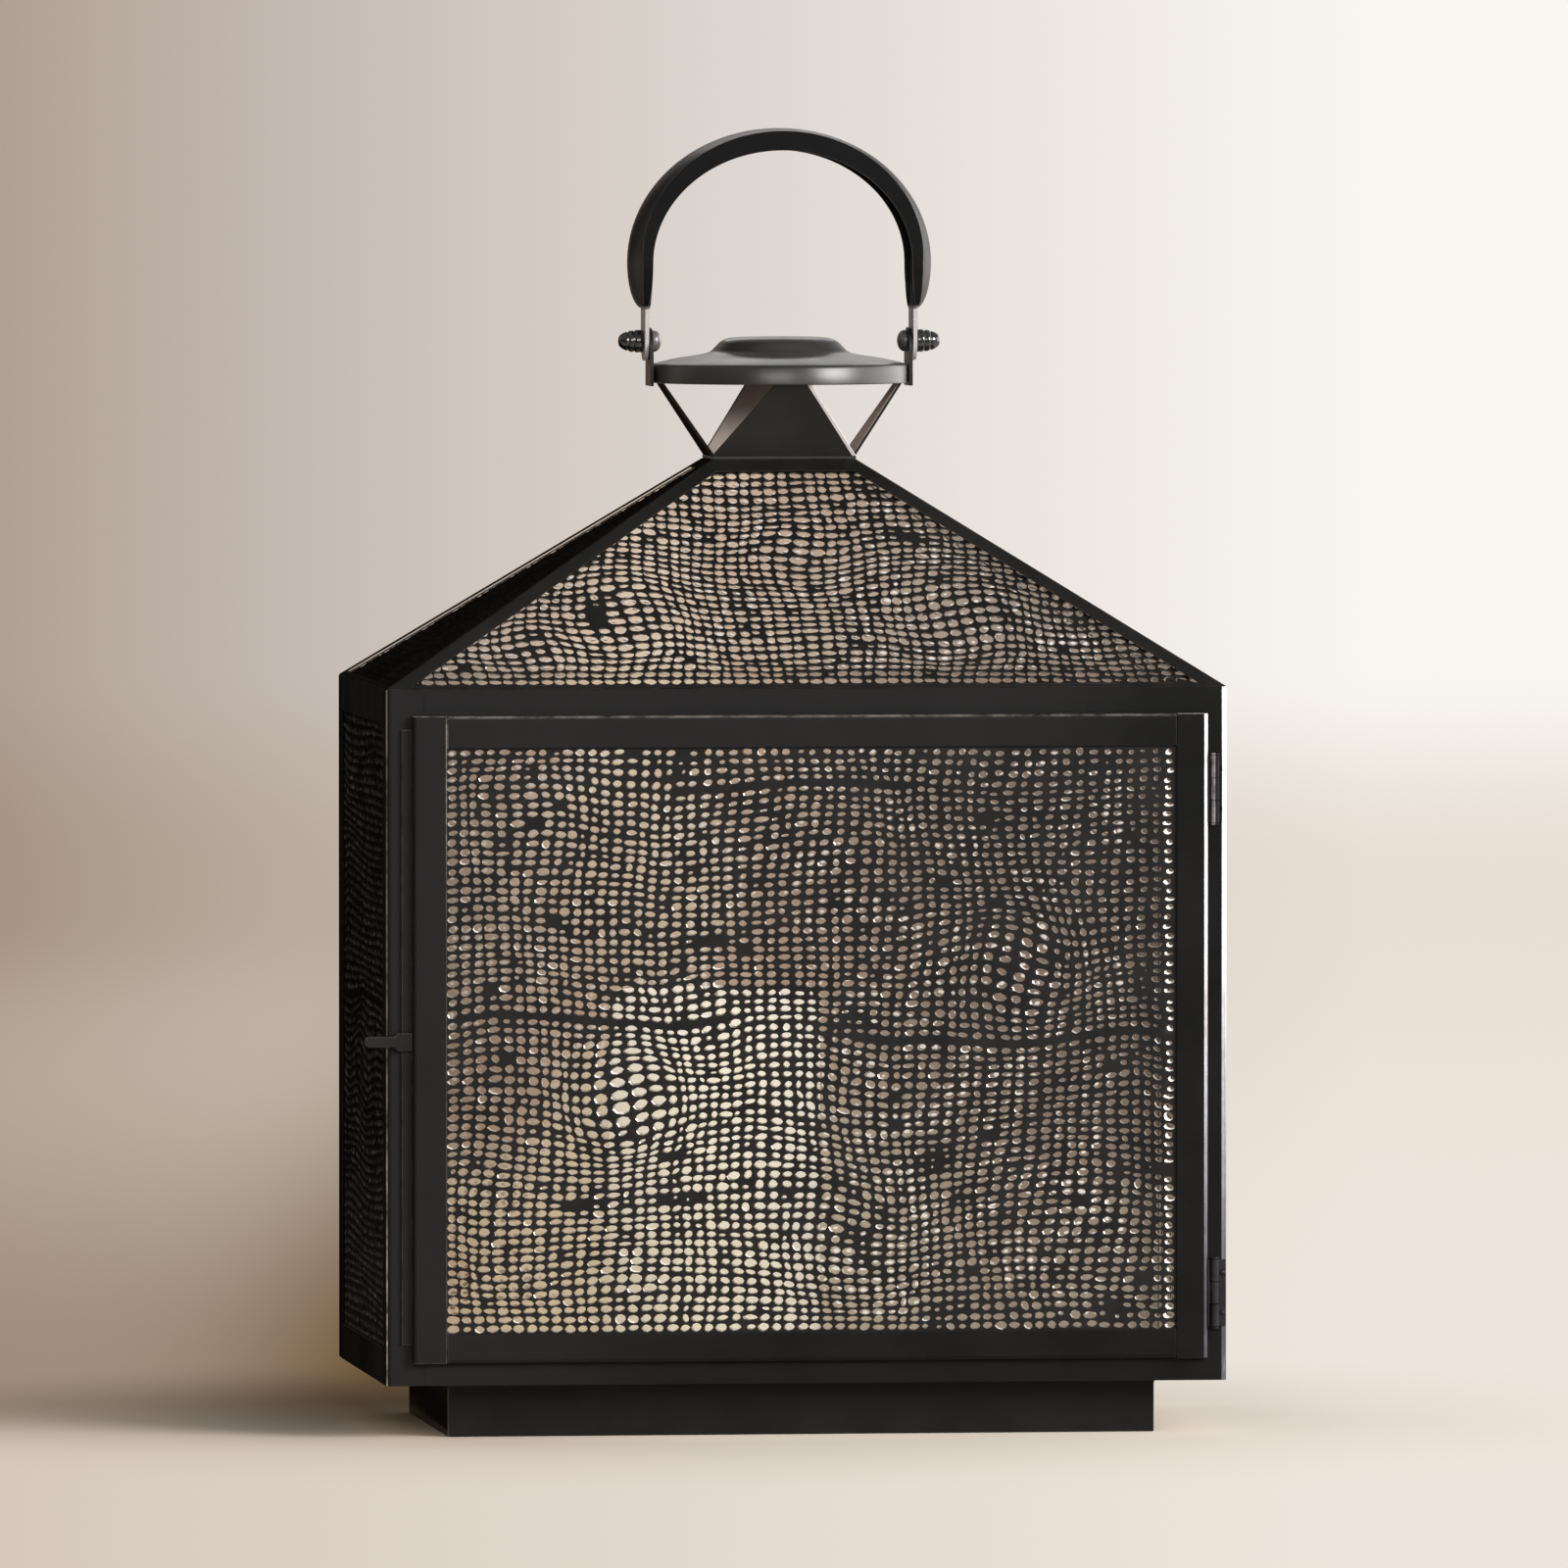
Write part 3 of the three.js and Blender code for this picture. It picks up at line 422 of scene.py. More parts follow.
def hole_outlines(centre, half, size, lean, random):
    """Each hole's eight points, in front and then behind, where it is narrower and leans.

    It is a rounded octagon centre + s (|cos t|^e a + |sin t|^e b), with a and b half its cell.
    """
    cells = len(centre)
    turn = np.radians([-135, -90, -45, 0, 45, 90, 135, 180])
    soft = 2 / random.uniform(*ROUNDNESS, (cells, 1))
    tilt = random.normal(0, TILT, (cells, 1))
    along, rise = powered(np.cos(turn), soft), powered(np.sin(turn), soft)
    uneven = random.normal(1, OUTLINE_SPREAD, (cells, 8))
    along, rise = (along - tilt * rise) * uneven, (rise + tilt * along) * uneven
    outlines = []
    for way in (-0.5, 0.5):
        reach = (size - HOLE_TAPER * way)[:, None]
        spread = along[..., None] * half[:, None, 0] * reach[..., 0:1]
        spread = spread + rise[..., None] * half[:, None, 1] * reach[..., 1:2]
        outlines.append((centre + way * lean)[:, None] + spread)
    return outlines


def plain_faces(shape, bare):
    """Quads of plain metal over a grid of points: the bare cells and the landing all round."""
    stride = shape[1]
    columns, rows = bare.shape
    i, j = np.indices((shape[0] - 1, stride - 1))
    column, row = (i - 1) // 2, (j - 1) // 2
    within = (column >= 0) & (column < columns) & (row >= 0) & (row < rows)
    plain = np.where(within, bare[np.where(within, column, 0), np.where(within, row, 0)], True)
    first = (i * stride + j)[plain]
    return quads(first, first + stride, first + stride + 1, first + 1)


def edge_faces(shape):
    """Quads along a sheet's four outer edges, between the points in front and those behind."""
    nodes = shape[0] * shape[1]
    stride = shape[1]
    low = np.arange(shape[0] - 1) * stride
    high = low + stride - 1
    left = np.arange(stride - 1)
    right = left + nodes - stride
    return [
        quads(low, low + nodes, low + stride + nodes, low + stride),
        quads(high, high + stride, high + stride + nodes, high + nodes),
        quads(left, left + 1, left + 1 + nodes, left + nodes),
        quads(right, right + nodes, right + 1 + nodes, right + 1),
    ]


def pierced_sheet(node, across, seed, hole, glint, whorls, cracks=()):
    """Pierces a sheet with rows of oval holes, laid out by formula.

    Each cell is the ring of eight points round it, and some cells stay bare. glint is how bright
    the cut metal in the holes is, on average: bare metal up to 1, and from 1.4 on a painted glint, a
    glow that stands in for the light the rims catch. In the door's last column the painted glint
    is brighter all round, above all higher up, and the holes lean more.
    """
    is_door = node.startswith("door")
    landing = ROOF_LANDING if "roof" in node else WALL_LANDING
    corners, up, normal, depth = sheet_corners(node, across)
    across = np.array(across, float)
    random = np.random.default_rng(seed)
    width = (corners[1] - corners[0]) @ across
    height = (corners[3] - corners[0]) @ up
    grid = pattern_grid((width - 2 * landing, height - 2 * landing), random, seed, whorls, cracks)
    columns, rows = (points // 2 for points in grid.shape[1:])
    a, b = np.pad(grid + landing, ((0, 0), (1, 1), (1, 1)), mode="edge")
    a[0], a[-1] = 0, width
    b[:, 0], b[:, -1] = 0, height

    # Cells, their rings of grid points and which are pierced: none well past a slanted side
    i, j = 1 + 2 * np.indices((columns, rows)).reshape(2, -1)
    round_i = np.array([0, 1, 2, 2, 2, 1, 0, 0])
    round_j = np.array([0, 0, 0, 1, 2, 2, 2, 1])
    ring = (i[:, None] + round_i) * a.shape[1] + j[:, None] + round_j
    flat = np.stack([a.ravel(), b.ravel()], axis=1)
    around = flat[ring]
    centre = around.mean(1)
    half = np.stack([around[:, 3] - around[:, 7], around[:, 5] - around[:, 1]], axis=1) / 2
    from_bare = distance_from_bare(np.stack([i, j], axis=1), random)
    chance = random.random(len(i))
    slant = (corners[3] - corners[0]) @ across / height
    kept = np.minimum(centre[:, 0], width - centre[:, 0]) - slant * centre[:, 1] > -1.5 * CELL_WIDTH
    pierced = kept & (chance > BARE_CHANCE) & ((from_bare > 1) | (chance > 0.5))

    # Holes
    u, v = (i - 1) / 2 / columns, (j - 1) / 2 / rows
    size, shift = hole_sizes(u, v, (j - 1) // 2, hole, from_bare, cracks, random)
    centre = centre + shift[:, 0:1] * half[:, 0] + shift[:, 1:2] * half[:, 1]
    lean = HOLE_LEAN[0] * half[:, 0] + HOLE_LEAN[1] * half[:, 1]
    in_last = (i == i.max()) & is_door
    lean[in_last] *= LAST_LEAN
    in_front, behind = hole_outlines(centre, half, size, lean, random)

    # Points and faces: the grid and the holes, in front and then behind
    layers = ((flat, 0), (flat, 1), (in_front[pierced], 0), (behind[pierced], 1))
    points = []
    for local, back in layers:
        local = local.reshape(-1, 2)
        points.append(corners[0] + local[:, :1] * across + local[:, 1:] * up - back * depth * normal)
    points = np.vstack(points)
    nodes = len(flat)
    holes = int(pierced.sum()) * 8
    outer = ring[pierced]
    front_hole = 2 * nodes + np.arange(holes).reshape(-1, 8)
    back_hole = front_hole + holes
    after = np.roll(np.arange(8), -1)
    front = quads(outer, outer[:, after], front_hole[:, after], front_hole)
    back = quads(outer + nodes, back_hole, back_hole[:, after], (outer + nodes)[:, after])
    walls = quads(front_hole, front_hole[:, after], back_hole[:, after], back_hole)
    plain = plain_faces(a.shape, (kept & ~pierced).reshape(columns, rows))
    plain_back = plain[:, ::-1] + nodes
    faces = np.vstack([front, plain, back, plain_back, walls, *edge_faces(a.shape)])

    # What the materials read: the sheet's inside, and the cut metal with its painted glint
    first_back = len(front) + len(plain)
    first_wall = first_back + len(back) + len(plain_back)
    inside = np.zeros(len(faces), np.float32)
    inside[first_back:first_wall] = 1
    # Painted glint: each hole's walls, by a random amount and by side, and most in the door's last
    # column
    painted_glint = glint * np.exp(random.normal(0, GLINT_SPREAD, len(i)))
    painted_glint[in_last] *= LAST_GLINT * (0.4 + 0.6 * smoothstep(0.05, 0.45, v[in_last]))
    painted_glint = painted_glint[:, None] * np.where(in_last[:, None], np.maximum(WALL_PAINTED_GLINT, 0.8), WALL_PAINTED_GLINT)
    cut = np.zeros(len(faces), np.float32)
    cut[first_wall : first_wall + len(walls)] = painted_glint[pierced].ravel()
    used, packed = np.unique(faces, return_inverse=True)
    name = node.replace("perforated", "pierced").replace("sheet", "skin")
    body = "door" if is_door else "housing"
    finish = SHADED_SKINS.get(node, skin_metal)
    made = mesh_object(name, points[used], packed.reshape(faces.shape).tolist(), body, [finish])
    for label, values in (("inner_face", inside), ("cut_metal_and_glint", cut)):
        layer = made.data.attributes.new(label, "FLOAT", "FACE")
        layer.data.foreach_set("value", values)
    if slant > 0:
        trim(made.data, corners, across, normal)
    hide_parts(node)


def trim(mesh, corners, across, normal):
    """Cuts a sheet along its two slanted sides and closes the cuts."""
    work = bmesh.new()
    work.from_mesh(mesh)
    for low, high, side in ((corners[0], corners[3], -1), (corners[1], corners[2], 1)):
        outward = np.cross(high - low, normal)
        outward *= side * np.sign(outward @ across) / np.linalg.norm(outward)
        plane = {"plane_co": Vector(low), "plane_no": Vector(outward)}
        geometry = work.verts[:] + work.edges[:] + work.faces[:]
        cut = bmesh.ops.bisect_plane(work, geom=geometry, dist=1e-7, clear_outer=True, **plane)
        edges = [e for e in cut["geom_cut"] if isinstance(e, bmesh.types.BMEdge)]
        bmesh.ops.triangle_fill(work, edges=edges, use_beauty=True)
    work.to_mesh(mesh)
    work.free()
    mesh.shade_smooth()
    mesh.set_sharp_from_angle(angle=math.radians(50))


# Materials


def fill(node, inputs):
    """Sets a node's inputs, {name or number: value}, each to a plain value or from a link."""
    for name, value in dict(inputs).items():
        if isinstance(value, bpy.types.NodeSocket):
            node.id_data.links.new(value, node.inputs[name])
        else:
            node.inputs[name].default_value = value


def add(tree, kind, inputs=(), **settings):
    """Adds a shader node, sets its own settings and then its inputs."""
    node = tree.nodes.new("ShaderNode" + kind)
    for name, value in settings.items():
        setattr(node, name, value)
    fill(node, inputs)
    return node


def maths(operation, *values, clamp=False):
    """One step of arithmetic, in the node tree that its values come from."""
    tree = next(value.id_data for value in values if isinstance(value, bpy.types.NodeSocket))
    return add(tree, "Math", enumerate(values), operation=operation, use_clamp=clamp).outputs[0]


def times(first, *others):
    """The product of two or more values."""
    for other in others:
        first = maths("MULTIPLY", first, other)
    return first


def plus(first, *others):
    """The sum of two or more values."""
    for other in others:
        first = maths("ADD", first, other)
    return first


def above(value, limit):
    """1 where a value is above a limit, and 0 elsewhere."""
    return maths("GREATER_THAN", value, limit)


def under(value, limit):
    """1 where a value is under a limit, and 0 elsewhere."""
    return maths("LESS_THAN", value, limit)


def either(first, second):
    """The larger of two values."""
    return maths("MAXIMUM", first, second)


def ranged(value, low, high, to_low=0.0, to_high=1.0, kind="SMOOTHSTEP"):
    """Maps a value from low..high to to_low..to_high and clamps it."""
    limits = {"Value": value, "From Min": low, "From Max": high, "To Min": to_low, "To Max": to_high}
    return add(value.id_data, "MapRange", limits, interpolation_type=kind).outputs[0]


def blend(share, first, second):
    """Mixes two colours: the first where share is 0 and the second where it is 1."""
    return add(share.id_data, "Mix", {0: share, 6: first, 7: second}, data_type="RGBA").outputs[2]


def object_place(tree):
    """The place in the object's own frame."""
    return tree.nodes.new("ShaderNodeTexCoord").outputs["Object"]


def xyz(tree, vector=None):
    """The X, Y and Z of a vector, or of the place in the object's own frame."""
    return add(tree, "SeparateXYZ", {"Vector": vector or object_place(tree)}).outputs


def noise(tree, scale, detail, roughness=0.5):
    """Soft random clouds over the object, from 0 to 1."""
    inputs = {"Vector": object_place(tree), "Scale": scale, "Detail": detail, "Roughness": roughness}
    return add(tree, "TexNoise", inputs).outputs["Fac"]


def group(name, inputs, outputs):
    """Starts a node group with float inputs {name: default}; Colour and Glow are colours."""
    tree = bpy.data.node_groups.new(name, "ShaderNodeTree")
    for label, value in inputs.items():
        made = tree.interface.new_socket(label, in_out="INPUT", socket_type="NodeSocketFloat")
        made.default_value = value
    for label in outputs:
        kind = "NodeSocketColor" if label in ("Colour", "Glow") else "NodeSocketFloat"
        tree.interface.new_socket(label, in_out="OUTPUT", socket_type=kind)
    return tree, tree.nodes.new("NodeGroupInput").outputs, tree.nodes.new("NodeGroupOutput")


def powder_grain_group():
    """Fine grain of a sprayed coat, and the slow mottling left by the spray."""
    inputs = {"Grain": 1400.0, "Mottle": 30.0}
    tree, given, result = group("powder_grain", inputs, ("Height", "Mottle"))
    height = noise(tree, given["Grain"], 3.0, 0.65)
    fill(result, {"Height": height, "Mottle": noise(tree, given["Mottle"], 4.0, 0.6)})
    return tree


def rub_and_highlight_patches_group():
    """Patches of rub-through in a coat, and of a painted highlight line along an edge, broken up
    coarsely and then finely.
    """
    tree, given, result = group("rub_and_highlight_patches", {"Scale": 120.0, "Amount": 0.5}, ("Mask",))
    patches = ranged(noise(tree, given["Scale"], 5.0, 0.7), 0.3, 0.66)
    fill(result, {"Mask": maths("MULTIPLY", patches, given["Amount"], clamp=True)})
    return tree


def wash_and_painted_light_group():
    """The warm wash inside, and its painted glow, which stands in for light inside.

    It is pinkish brown and creamier in clouds. As painted light and shade it is creamier lower down
    and left of the middle, and darker towards both sides, the left only higher up. The painted glow
    is stronger in the roof.
    """
    tree, _, result = group("bronze_wash_and_painted_light", {}, ("Colour", "Glow"))
    place = xyz(tree)
    low = ranged(place["Z"], 0.16, 0.04)
    clouds = noise(tree, 16.0, 3.0, 0.55)
    beside = ranged(maths("ABSOLUTE", plus(place["X"], 0.05)), 0.07, 0.0)
    # Creamier lower down and left of the middle: a painted light, over the random clouds
    cream = ranged(plus(clouds, times(low, 0.22), times(beside, 0.1)), 0.46, 0.74)
    # Painted shade: darker towards the right, and towards the upper left
    right_painted_shade = ranged(plus(place["X"], times(clouds, 0.09)), 0.01, 0.14)
    right_painted_shade = times(right_painted_shade, 0.75, ranged(low, 0.0, 1.0, 1.0, 0.75))
    left = times(ranged(place["X"], -0.05, -0.13), 0.75, ranged(low, 0.0, 1.0, 1.0, 0.0))
    fine = ranged(noise(tree, 90.0, 3.0, 0.6), 0.3, 0.7)
    base = blend(cream, WASH_BROWN, WASH_CREAM)
    base = blend(times(fine, 0.2), base, WASH_DEEP)
    base = blend(either(right_painted_shade, left), base, WASH_PAINTED_SHADE)
    # Painted glow, stronger in the roof
    roof = times(ranged(place["Z"], 0.268, 0.282), ranged(place["X"], 0.02, -0.06, 0.25, 0.38))
    fill(result, {"Colour": base, "Glow": blend(roof, base, ROOF_PAINTED_GLOW)})
    return tree


def dust_and_sheen_group():
    """Dust on what faces up, thicker in soft patches. Set high, as on the cap, it is a painted sheen
    on the top as well.
    """
    tree, given, result = group("dust_and_top_sheen", {"Amount": 0.3}, ("Mask",))
    normal = xyz(tree, tree.nodes.new("ShaderNodeNewGeometry").outputs["Normal"])
    patches = ranged(noise(tree, 70.0, 5.0, 0.65), 0.3, 0.8)
    fill(result, {"Mask": times(ranged(normal["Z"], 0.35, 0.98), patches, given["Amount"])})
    return tree


NO_LIGHT = (0, 0, 0, 1)
BLACK = (0.0058, 0.0058, 0.0060, 1)
DUST_AND_SHEEN_GREY = (0.30, 0.26, 0.22, 1)
CUT_METAL = (0.50, 0.45, 0.38, 1)
# Painted glint: the glow of cut metal whose value passes 1.4
CUT_PAINTED_GLINT = (3.2, 3.1, 3.0, 1)
WASH_BROWN = (0.57, 0.42, 0.32, 1)
WASH_CREAM = (0.78, 0.69, 0.53, 1)
WASH_DEEP = (0.40, 0.28, 0.20, 1)
# The wash's painted shade, and its painted glow: the strength, and the roof's colour
WASH_PAINTED_SHADE = (0.22, 0.18, 0.155, 1)
PAINTED_GLOW_STRENGTH = 0.22
ROOF_PAINTED_GLOW = (3.0, 2.6, 2.2, 1)
GRAIN = powder_grain_group()
RUB_AND_HIGHLIGHT = rub_and_highlight_patches_group()
WASH_AND_PAINTED_LIGHT = wash_and_painted_light_group()
DUST_AND_SHEEN = dust_and_sheen_group()


def use_group(tree, source, **inputs):
    """Adds one of the shared effects, and gives its outputs."""
    return add(tree, "Group", inputs, node_tree=source).outputs


def material(name):
    """Starts a material, and gives it with its node tree and its shader."""
    made = bpy.data.materials.new(name)
    made.use_nodes = True
    return made, made.node_tree, made.node_tree.nodes["Principled BSDF"]


def bump(shader, height, strength, distance):
    """Roughens a shader's surface by a height from 0 to 1 times distance."""
    inputs = {"Strength": strength, "Distance": distance, "Height": height}
    fill(shader, {"Normal": add(shader.id_data, "Bump", inputs).outputs["Normal"]})


def beyond(axis, limit):
    """Gives a mask that is 1 where the object's coordinate on an axis is above a limit."""
    return lambda tree: above(xyz(tree)[axis], limit)


def chamber_mask(tree):
    """1 on what faces the chamber: inside the walls' sheet metal."""
    place = xyz(tree)
    within_x = under(maths("ABSOLUTE", place["X"]), 0.1537)
    within_y = under(maths("ABSOLUTE", place["Y"]), 0.0863)
    return times(within_x, within_y, above(place["Z"], 0.0206))


def door_quiet_mask(tree):
    """1 where the door's edges stay black: all but its top edge and its left stile, which carry a
    painted highlight line.
    """
    place = xyz(tree)
    left = times(under(place["X"], -0.1325), ranged(place["Z"], 0.19, 0.235, 0.25, 1.0))
    return maths("SUBTRACT", 1.0, either(above(place["Z"], 0.2644), left))


def barrel_shade_mask(tree):
    """1 on the upper hinge, but for the strip of its barrel that catches the light."""
    x = xyz(tree)["X"]
    return either(under(x, HINGE_LIGHT[0]), above(x, HINGE_LIGHT[1]))


def upper_left_mask(tree):
    """1 towards the front's upper left, where a painted light makes the coat lighter, and 0 at its
    right and foot.
    """
    place = xyz(tree)
    up_left = maths("SUBTRACT", times(place["Z"], 4.4), times(place["X"], 5.8))
    return ranged(up_left, 0.15, 0.95)


def surface_normal(tree):
    """The normal in the object's own frame, as X, Y and Z."""
    return xyz(tree, tree.nodes.new("ShaderNodeTexCoord").outputs["Normal"])


def door_top_mask(tree):
    """Patches along the rounding at the top of the door's front: a painted highlight line, partly
    rub-through.
    """
    slope = surface_normal(tree)["Z"]
    rounding = times(ranged(slope, 0.3, 0.45), ranged(slope, 0.97, 0.9))
    return times(rounding, above(xyz(tree)["Z"], 0.2638), use_group(tree, RUB_AND_HIGHLIGHT, Amount=0.9)["Mask"])


def inward_mask(tree):
    """1 on inner faces under the cap and the roof: those whose normal points back to the middle."""
    normal, place = surface_normal(tree), xyz(tree)
    outward = plus(times(normal["X"], place["X"]), times(normal["Y"], place["Y"]))
    return under(outward, -0.003)


def under_roof_mask(tree):
    """1 on the roof's underside, and 0 on the lips round its openings."""
    return times(under(surface_normal(tree)["Z"], -0.4), inward_mask(tree))


def grip_mask(tree):
    """What is lighter on the handle, as rub-through and painted highlight: its outer and inner faces
    in part, and the straps nearly all.
    """
    across = maths("ABSOLUTE", surface_normal(tree)["Y"])
    height = xyz(tree)["Z"]
    faces = times(ranged(across, 0.75, 0.45), ranged(height, 0.436, 0.428, 0.05, 0.10))
    return either(faces, ranged(height, 0.4135, 0.4115, 0.0, 0.9))


def right_rim_mask(node, width):
    """Gives a mask that is 1 within width of a petal's slanting right edge."""
    points = np.array([vertex.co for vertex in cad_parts[node].data.vertices])
    low, high = points[:, 2].min(), points[:, 2].max()
    low_edge = points[points[:, 2] < low + 0.0001, 0].max()
    high_edge = points[points[:, 2] > high - 0.0001, 0].max()
    slope = float((high_edge - low_edge) / (high - low))
    level = float(low_edge - slope * low - width)

    def mask(tree):
        place = xyz(tree)
        return above(maths("SUBTRACT", place["X"], times(place["Z"], slope)), level)

    return mask


def painted(
    name,
    colour=BLACK,
    worn_and_lit_colour=(0.09, 0.08, 0.07, 1),
    wear_and_highlight=0.0,
    bare=0.0,
    roughness=(0.34, 0.44),
    specular=0.16,
    dust_and_sheen=0.008,
    inside=None,
    blacked=None,
    painted_light_mask=None,
    brown=(0.15, 0.12, 0.105, 1),
    upper_left_painted_light=None,
    relief=0.3,
):
    """Satin black paint: grain, mottling, a little dust, and patches where wear is set. On softened
    edges these patches are a painted highlight line as well as rub-through, and on the cap a high
    dust setting is a painted sheen too.

    inside is a mask of the surfaces that carry the warm wash and its painted glow, blacked of what
    stays black, without patches, and browned of what takes the colour brown all over: a painted
    light, in places a highlight, on the handle and the door's top partly rub-through. worn is the
    patches' colour, bare how metallic they are, faded a painted light towards the upper left, and
    relief how deep the grain is.
    """
    made, tree, shader = material(name)
    skin = use_group(tree, GRAIN)
    lighter = tuple(c * 1.4 for c in colour[:3]) + (1,)
    base = blend(ranged(skin["Mottle"], 0.3, 0.7), colour, lighter)
    # Painted light: the coat lighter towards the front's upper left
    if upper_left_painted_light:
        base = blend(upper_left_mask(tree), base, upper_left_painted_light)
    # Dust on what faces up, and where it is set high a painted sheen
    base = blend(use_group(tree, DUST_AND_SHEEN, Amount=dust_and_sheen)["Mask"], base, DUST_AND_SHEEN_GREY)
    # Patches of rub-through; on softened edges they are a painted highlight line as well
    if wear_and_highlight:
        rubbed_and_lit = use_group(tree, RUB_AND_HIGHLIGHT, Amount=wear_and_highlight)["Mask"]
        if blacked:
            quiet = blacked(tree)
            rubbed_and_lit = times(rubbed_and_lit, maths("SUBTRACT", 1.0, quiet))
            base = blend(quiet, base, BLACK)
        base = blend(rubbed_and_lit, base, worn_and_lit_colour)
        fill(shader, {"Metallic": times(rubbed_and_lit, bare)})
    # Painted light: the masked part takes a lighter colour all over, in places a painted highlight
    if painted_light_mask:
        base = blend(painted_light_mask(tree), base, brown)
    if inside:
        mask = inside(tree)
        wash = use_group(tree, WASH_AND_PAINTED_LIGHT)
        base = blend(mask, base, wash["Colour"])
        # The wash's painted glow, which stands in for light inside
        glow = blend(mask, NO_LIGHT, wash["Glow"])
        fill(shader, {"Emission Color": glow, "Emission Strength": PAINTED_GLOW_STRENGTH})
    rough = ranged(skin["Mottle"], 0.3, 0.7, *roughness)
    fill(shader, {"Base Color": base, "Roughness": rough, "Specular IOR Level": specular})
    bump(shader, skin["Height"], relief, 0.00003)
    return made


def skin_material(name, dark, light, specular, foot=None):
    """The pierced sheets: black outside, the warm wash with its painted glow inside, and bare metal
    where a hole was cut, with a painted glint that glows where its value passes 1.4.

    foot is the colour towards the foot, where given, a painted light.
    """
    made, tree, shader = material(name)
    skin = use_group(tree, GRAIN, Grain=1700.0, Mottle=45.0)
    inner = add(tree, "Attribute", attribute_name="inner_face").outputs["Fac"]
    cut = add(tree, "Attribute", attribute_name="cut_metal_and_glint").outputs["Fac"]
    outside = blend(ranged(skin["Mottle"], 0.32, 0.68), dark, light)
    if foot:
        outside = blend(ranged(xyz(tree)["Z"], 0.13, 0.04), outside, foot)
    wash = use_group(tree, WASH_AND_PAINTED_LIGHT)
    base = blend(cut, blend(inner, outside, wash["Colour"]), CUT_METAL)
    # Painted glint on the cut metal, and the wash's painted glow inside
    glow = blend(ranged(cut, 1.4, 3.4), blend(inner, NO_LIGHT, wash["Glow"]), CUT_PAINTED_GLINT)
    fill(shader, {"Base Color": base, "Emission Color": glow, "Emission Strength": PAINTED_GLOW_STRENGTH})
    cut = maths("MINIMUM", cut, 1.0)
    rough = maths("SUBTRACT", ranged(skin["Mottle"], 0.3, 0.7, 0.36, 0.5), times(cut, 0.1))
    fill(shader, {"Metallic": times(cut, 0.8), "Roughness": rough, "Specular IOR Level": specular})
    bump(shader, skin["Height"], 0.3, 0.00002)
    return made


def warm_wash_and_painted_glow():
    """The same wash, with its painted glow, on the pieces that lie wholly inside."""
    made, tree, shader = material("bronze_wash_and_painted_light")
    skin = use_group(tree, GRAIN, Grain=1700.0, Mottle=40.0)
    wash = use_group(tree, WASH_AND_PAINTED_LIGHT)
    fill(shader, {"Base Color": wash["Colour"], "Emission Color": wash["Glow"]})
    rough = ranged(skin["Mottle"], 0.3, 0.7, 0.4, 0.6)
    fill(shader, {"Emission Strength": PAINTED_GLOW_STRENGTH, "Roughness": rough})
    bump(shader, skin["Height"], 0.3, 0.00002)
    return made


def painted_highlight_corner_metal():
    """The rounded right corners: bright metal as a painted highlight, near white above, greyer
    towards the foot.
    """
    made, tree, shader = material("painted_highlight_corner")
    tint = ranged(noise(tree, 35.0, 2.0), 0.35, 0.65)
    high = blend(tint, (0.90, 0.84, 0.85, 1), (0.80, 0.83, 0.92, 1))
    base = blend(ranged(xyz(tree)["Z"], 0.04, 0.24), (0.09, 0.085, 0.105, 1), high)
    chips = use_group(tree, RUB_AND_HIGHLIGHT, Scale=260.0, Amount=0.25)["Mask"]
    base = blend(chips, base, (0.02, 0.02, 0.02, 1))
    rough = ranged(tint, 0.0, 1.0, 0.32, 0.45)
    fill(shader, {"Base Color": base, "Metallic": 0.85, "Roughness": rough})
    return made


def left_corner_highlight_paint():
    """The front left corner's paint: a painted highlight line in patches, greyer brown and stronger
    towards the foot.
    """
    made, tree, shader = material("left_corner_highlight")
    rubbed_and_lit = ranged(xyz(tree)["Z"], 0.16, 0.05, 0.35, 1.0)
    rubbed_and_lit = times(rubbed_and_lit, use_group(tree, RUB_AND_HIGHLIGHT, Amount=0.9)["Mask"])
    base = blend(rubbed_and_lit, (0.008, 0.0078, 0.0075, 1), (0.75, 0.71, 0.64, 1))
    fill(shader, {"Base Color": base, "Roughness": 0.4, "Specular IOR Level": 0.2})
    return made


def wax():
    """Ivory wax: mottled and a little translucent, with a painted glow, standing in for light, that
    grows towards its top.
    """
    made, tree, shader = material("ivory_wax")
    clouds = noise(tree, 38.0, 4.0, 0.6)
    upwards = ranged(xyz(tree)["Z"], 0.05, 0.15)
    inputs = {
        "Base Color": blend(ranged(clouds, 0.3, 0.7), (0.87, 0.84, 0.70, 1), (0.93, 0.91, 0.80, 1)),
        "Roughness": ranged(clouds, 0.3, 0.7, 0.42, 0.58),
        "Subsurface Weight": 0.35,
        "Subsurface Radius": (0.012, 0.009, 0.005),
        "Subsurface Scale": 1.0,
        # Painted glow: the unlit candle glows, more towards its top
        "Emission Color": blend(upwards, (0.66, 0.63, 0.54, 1), (1.25, 1.21, 1.06, 1)),
        "Emission Strength": 0.36,
    }
    fill(shader, inputs)
    bump(shader, noise(tree, 420.0, 3.0), 0.25, 0.00012)
    return made


def cotton():
    """Cotton wick, in lighter and darker strands."""
    made, tree, shader = material("wick_cotton")
    fibre = noise(tree, 3200.0, 3.0, 0.7)
    base = blend(ranged(fibre, 0.3, 0.7), (0.50, 0.46, 0.38, 1), (0.78, 0.74, 0.65, 1))
    fill(shader, {"Base Color": base, "Roughness": 0.92})
    bump(shader, fibre, 0.6, 0.0002)
    return made


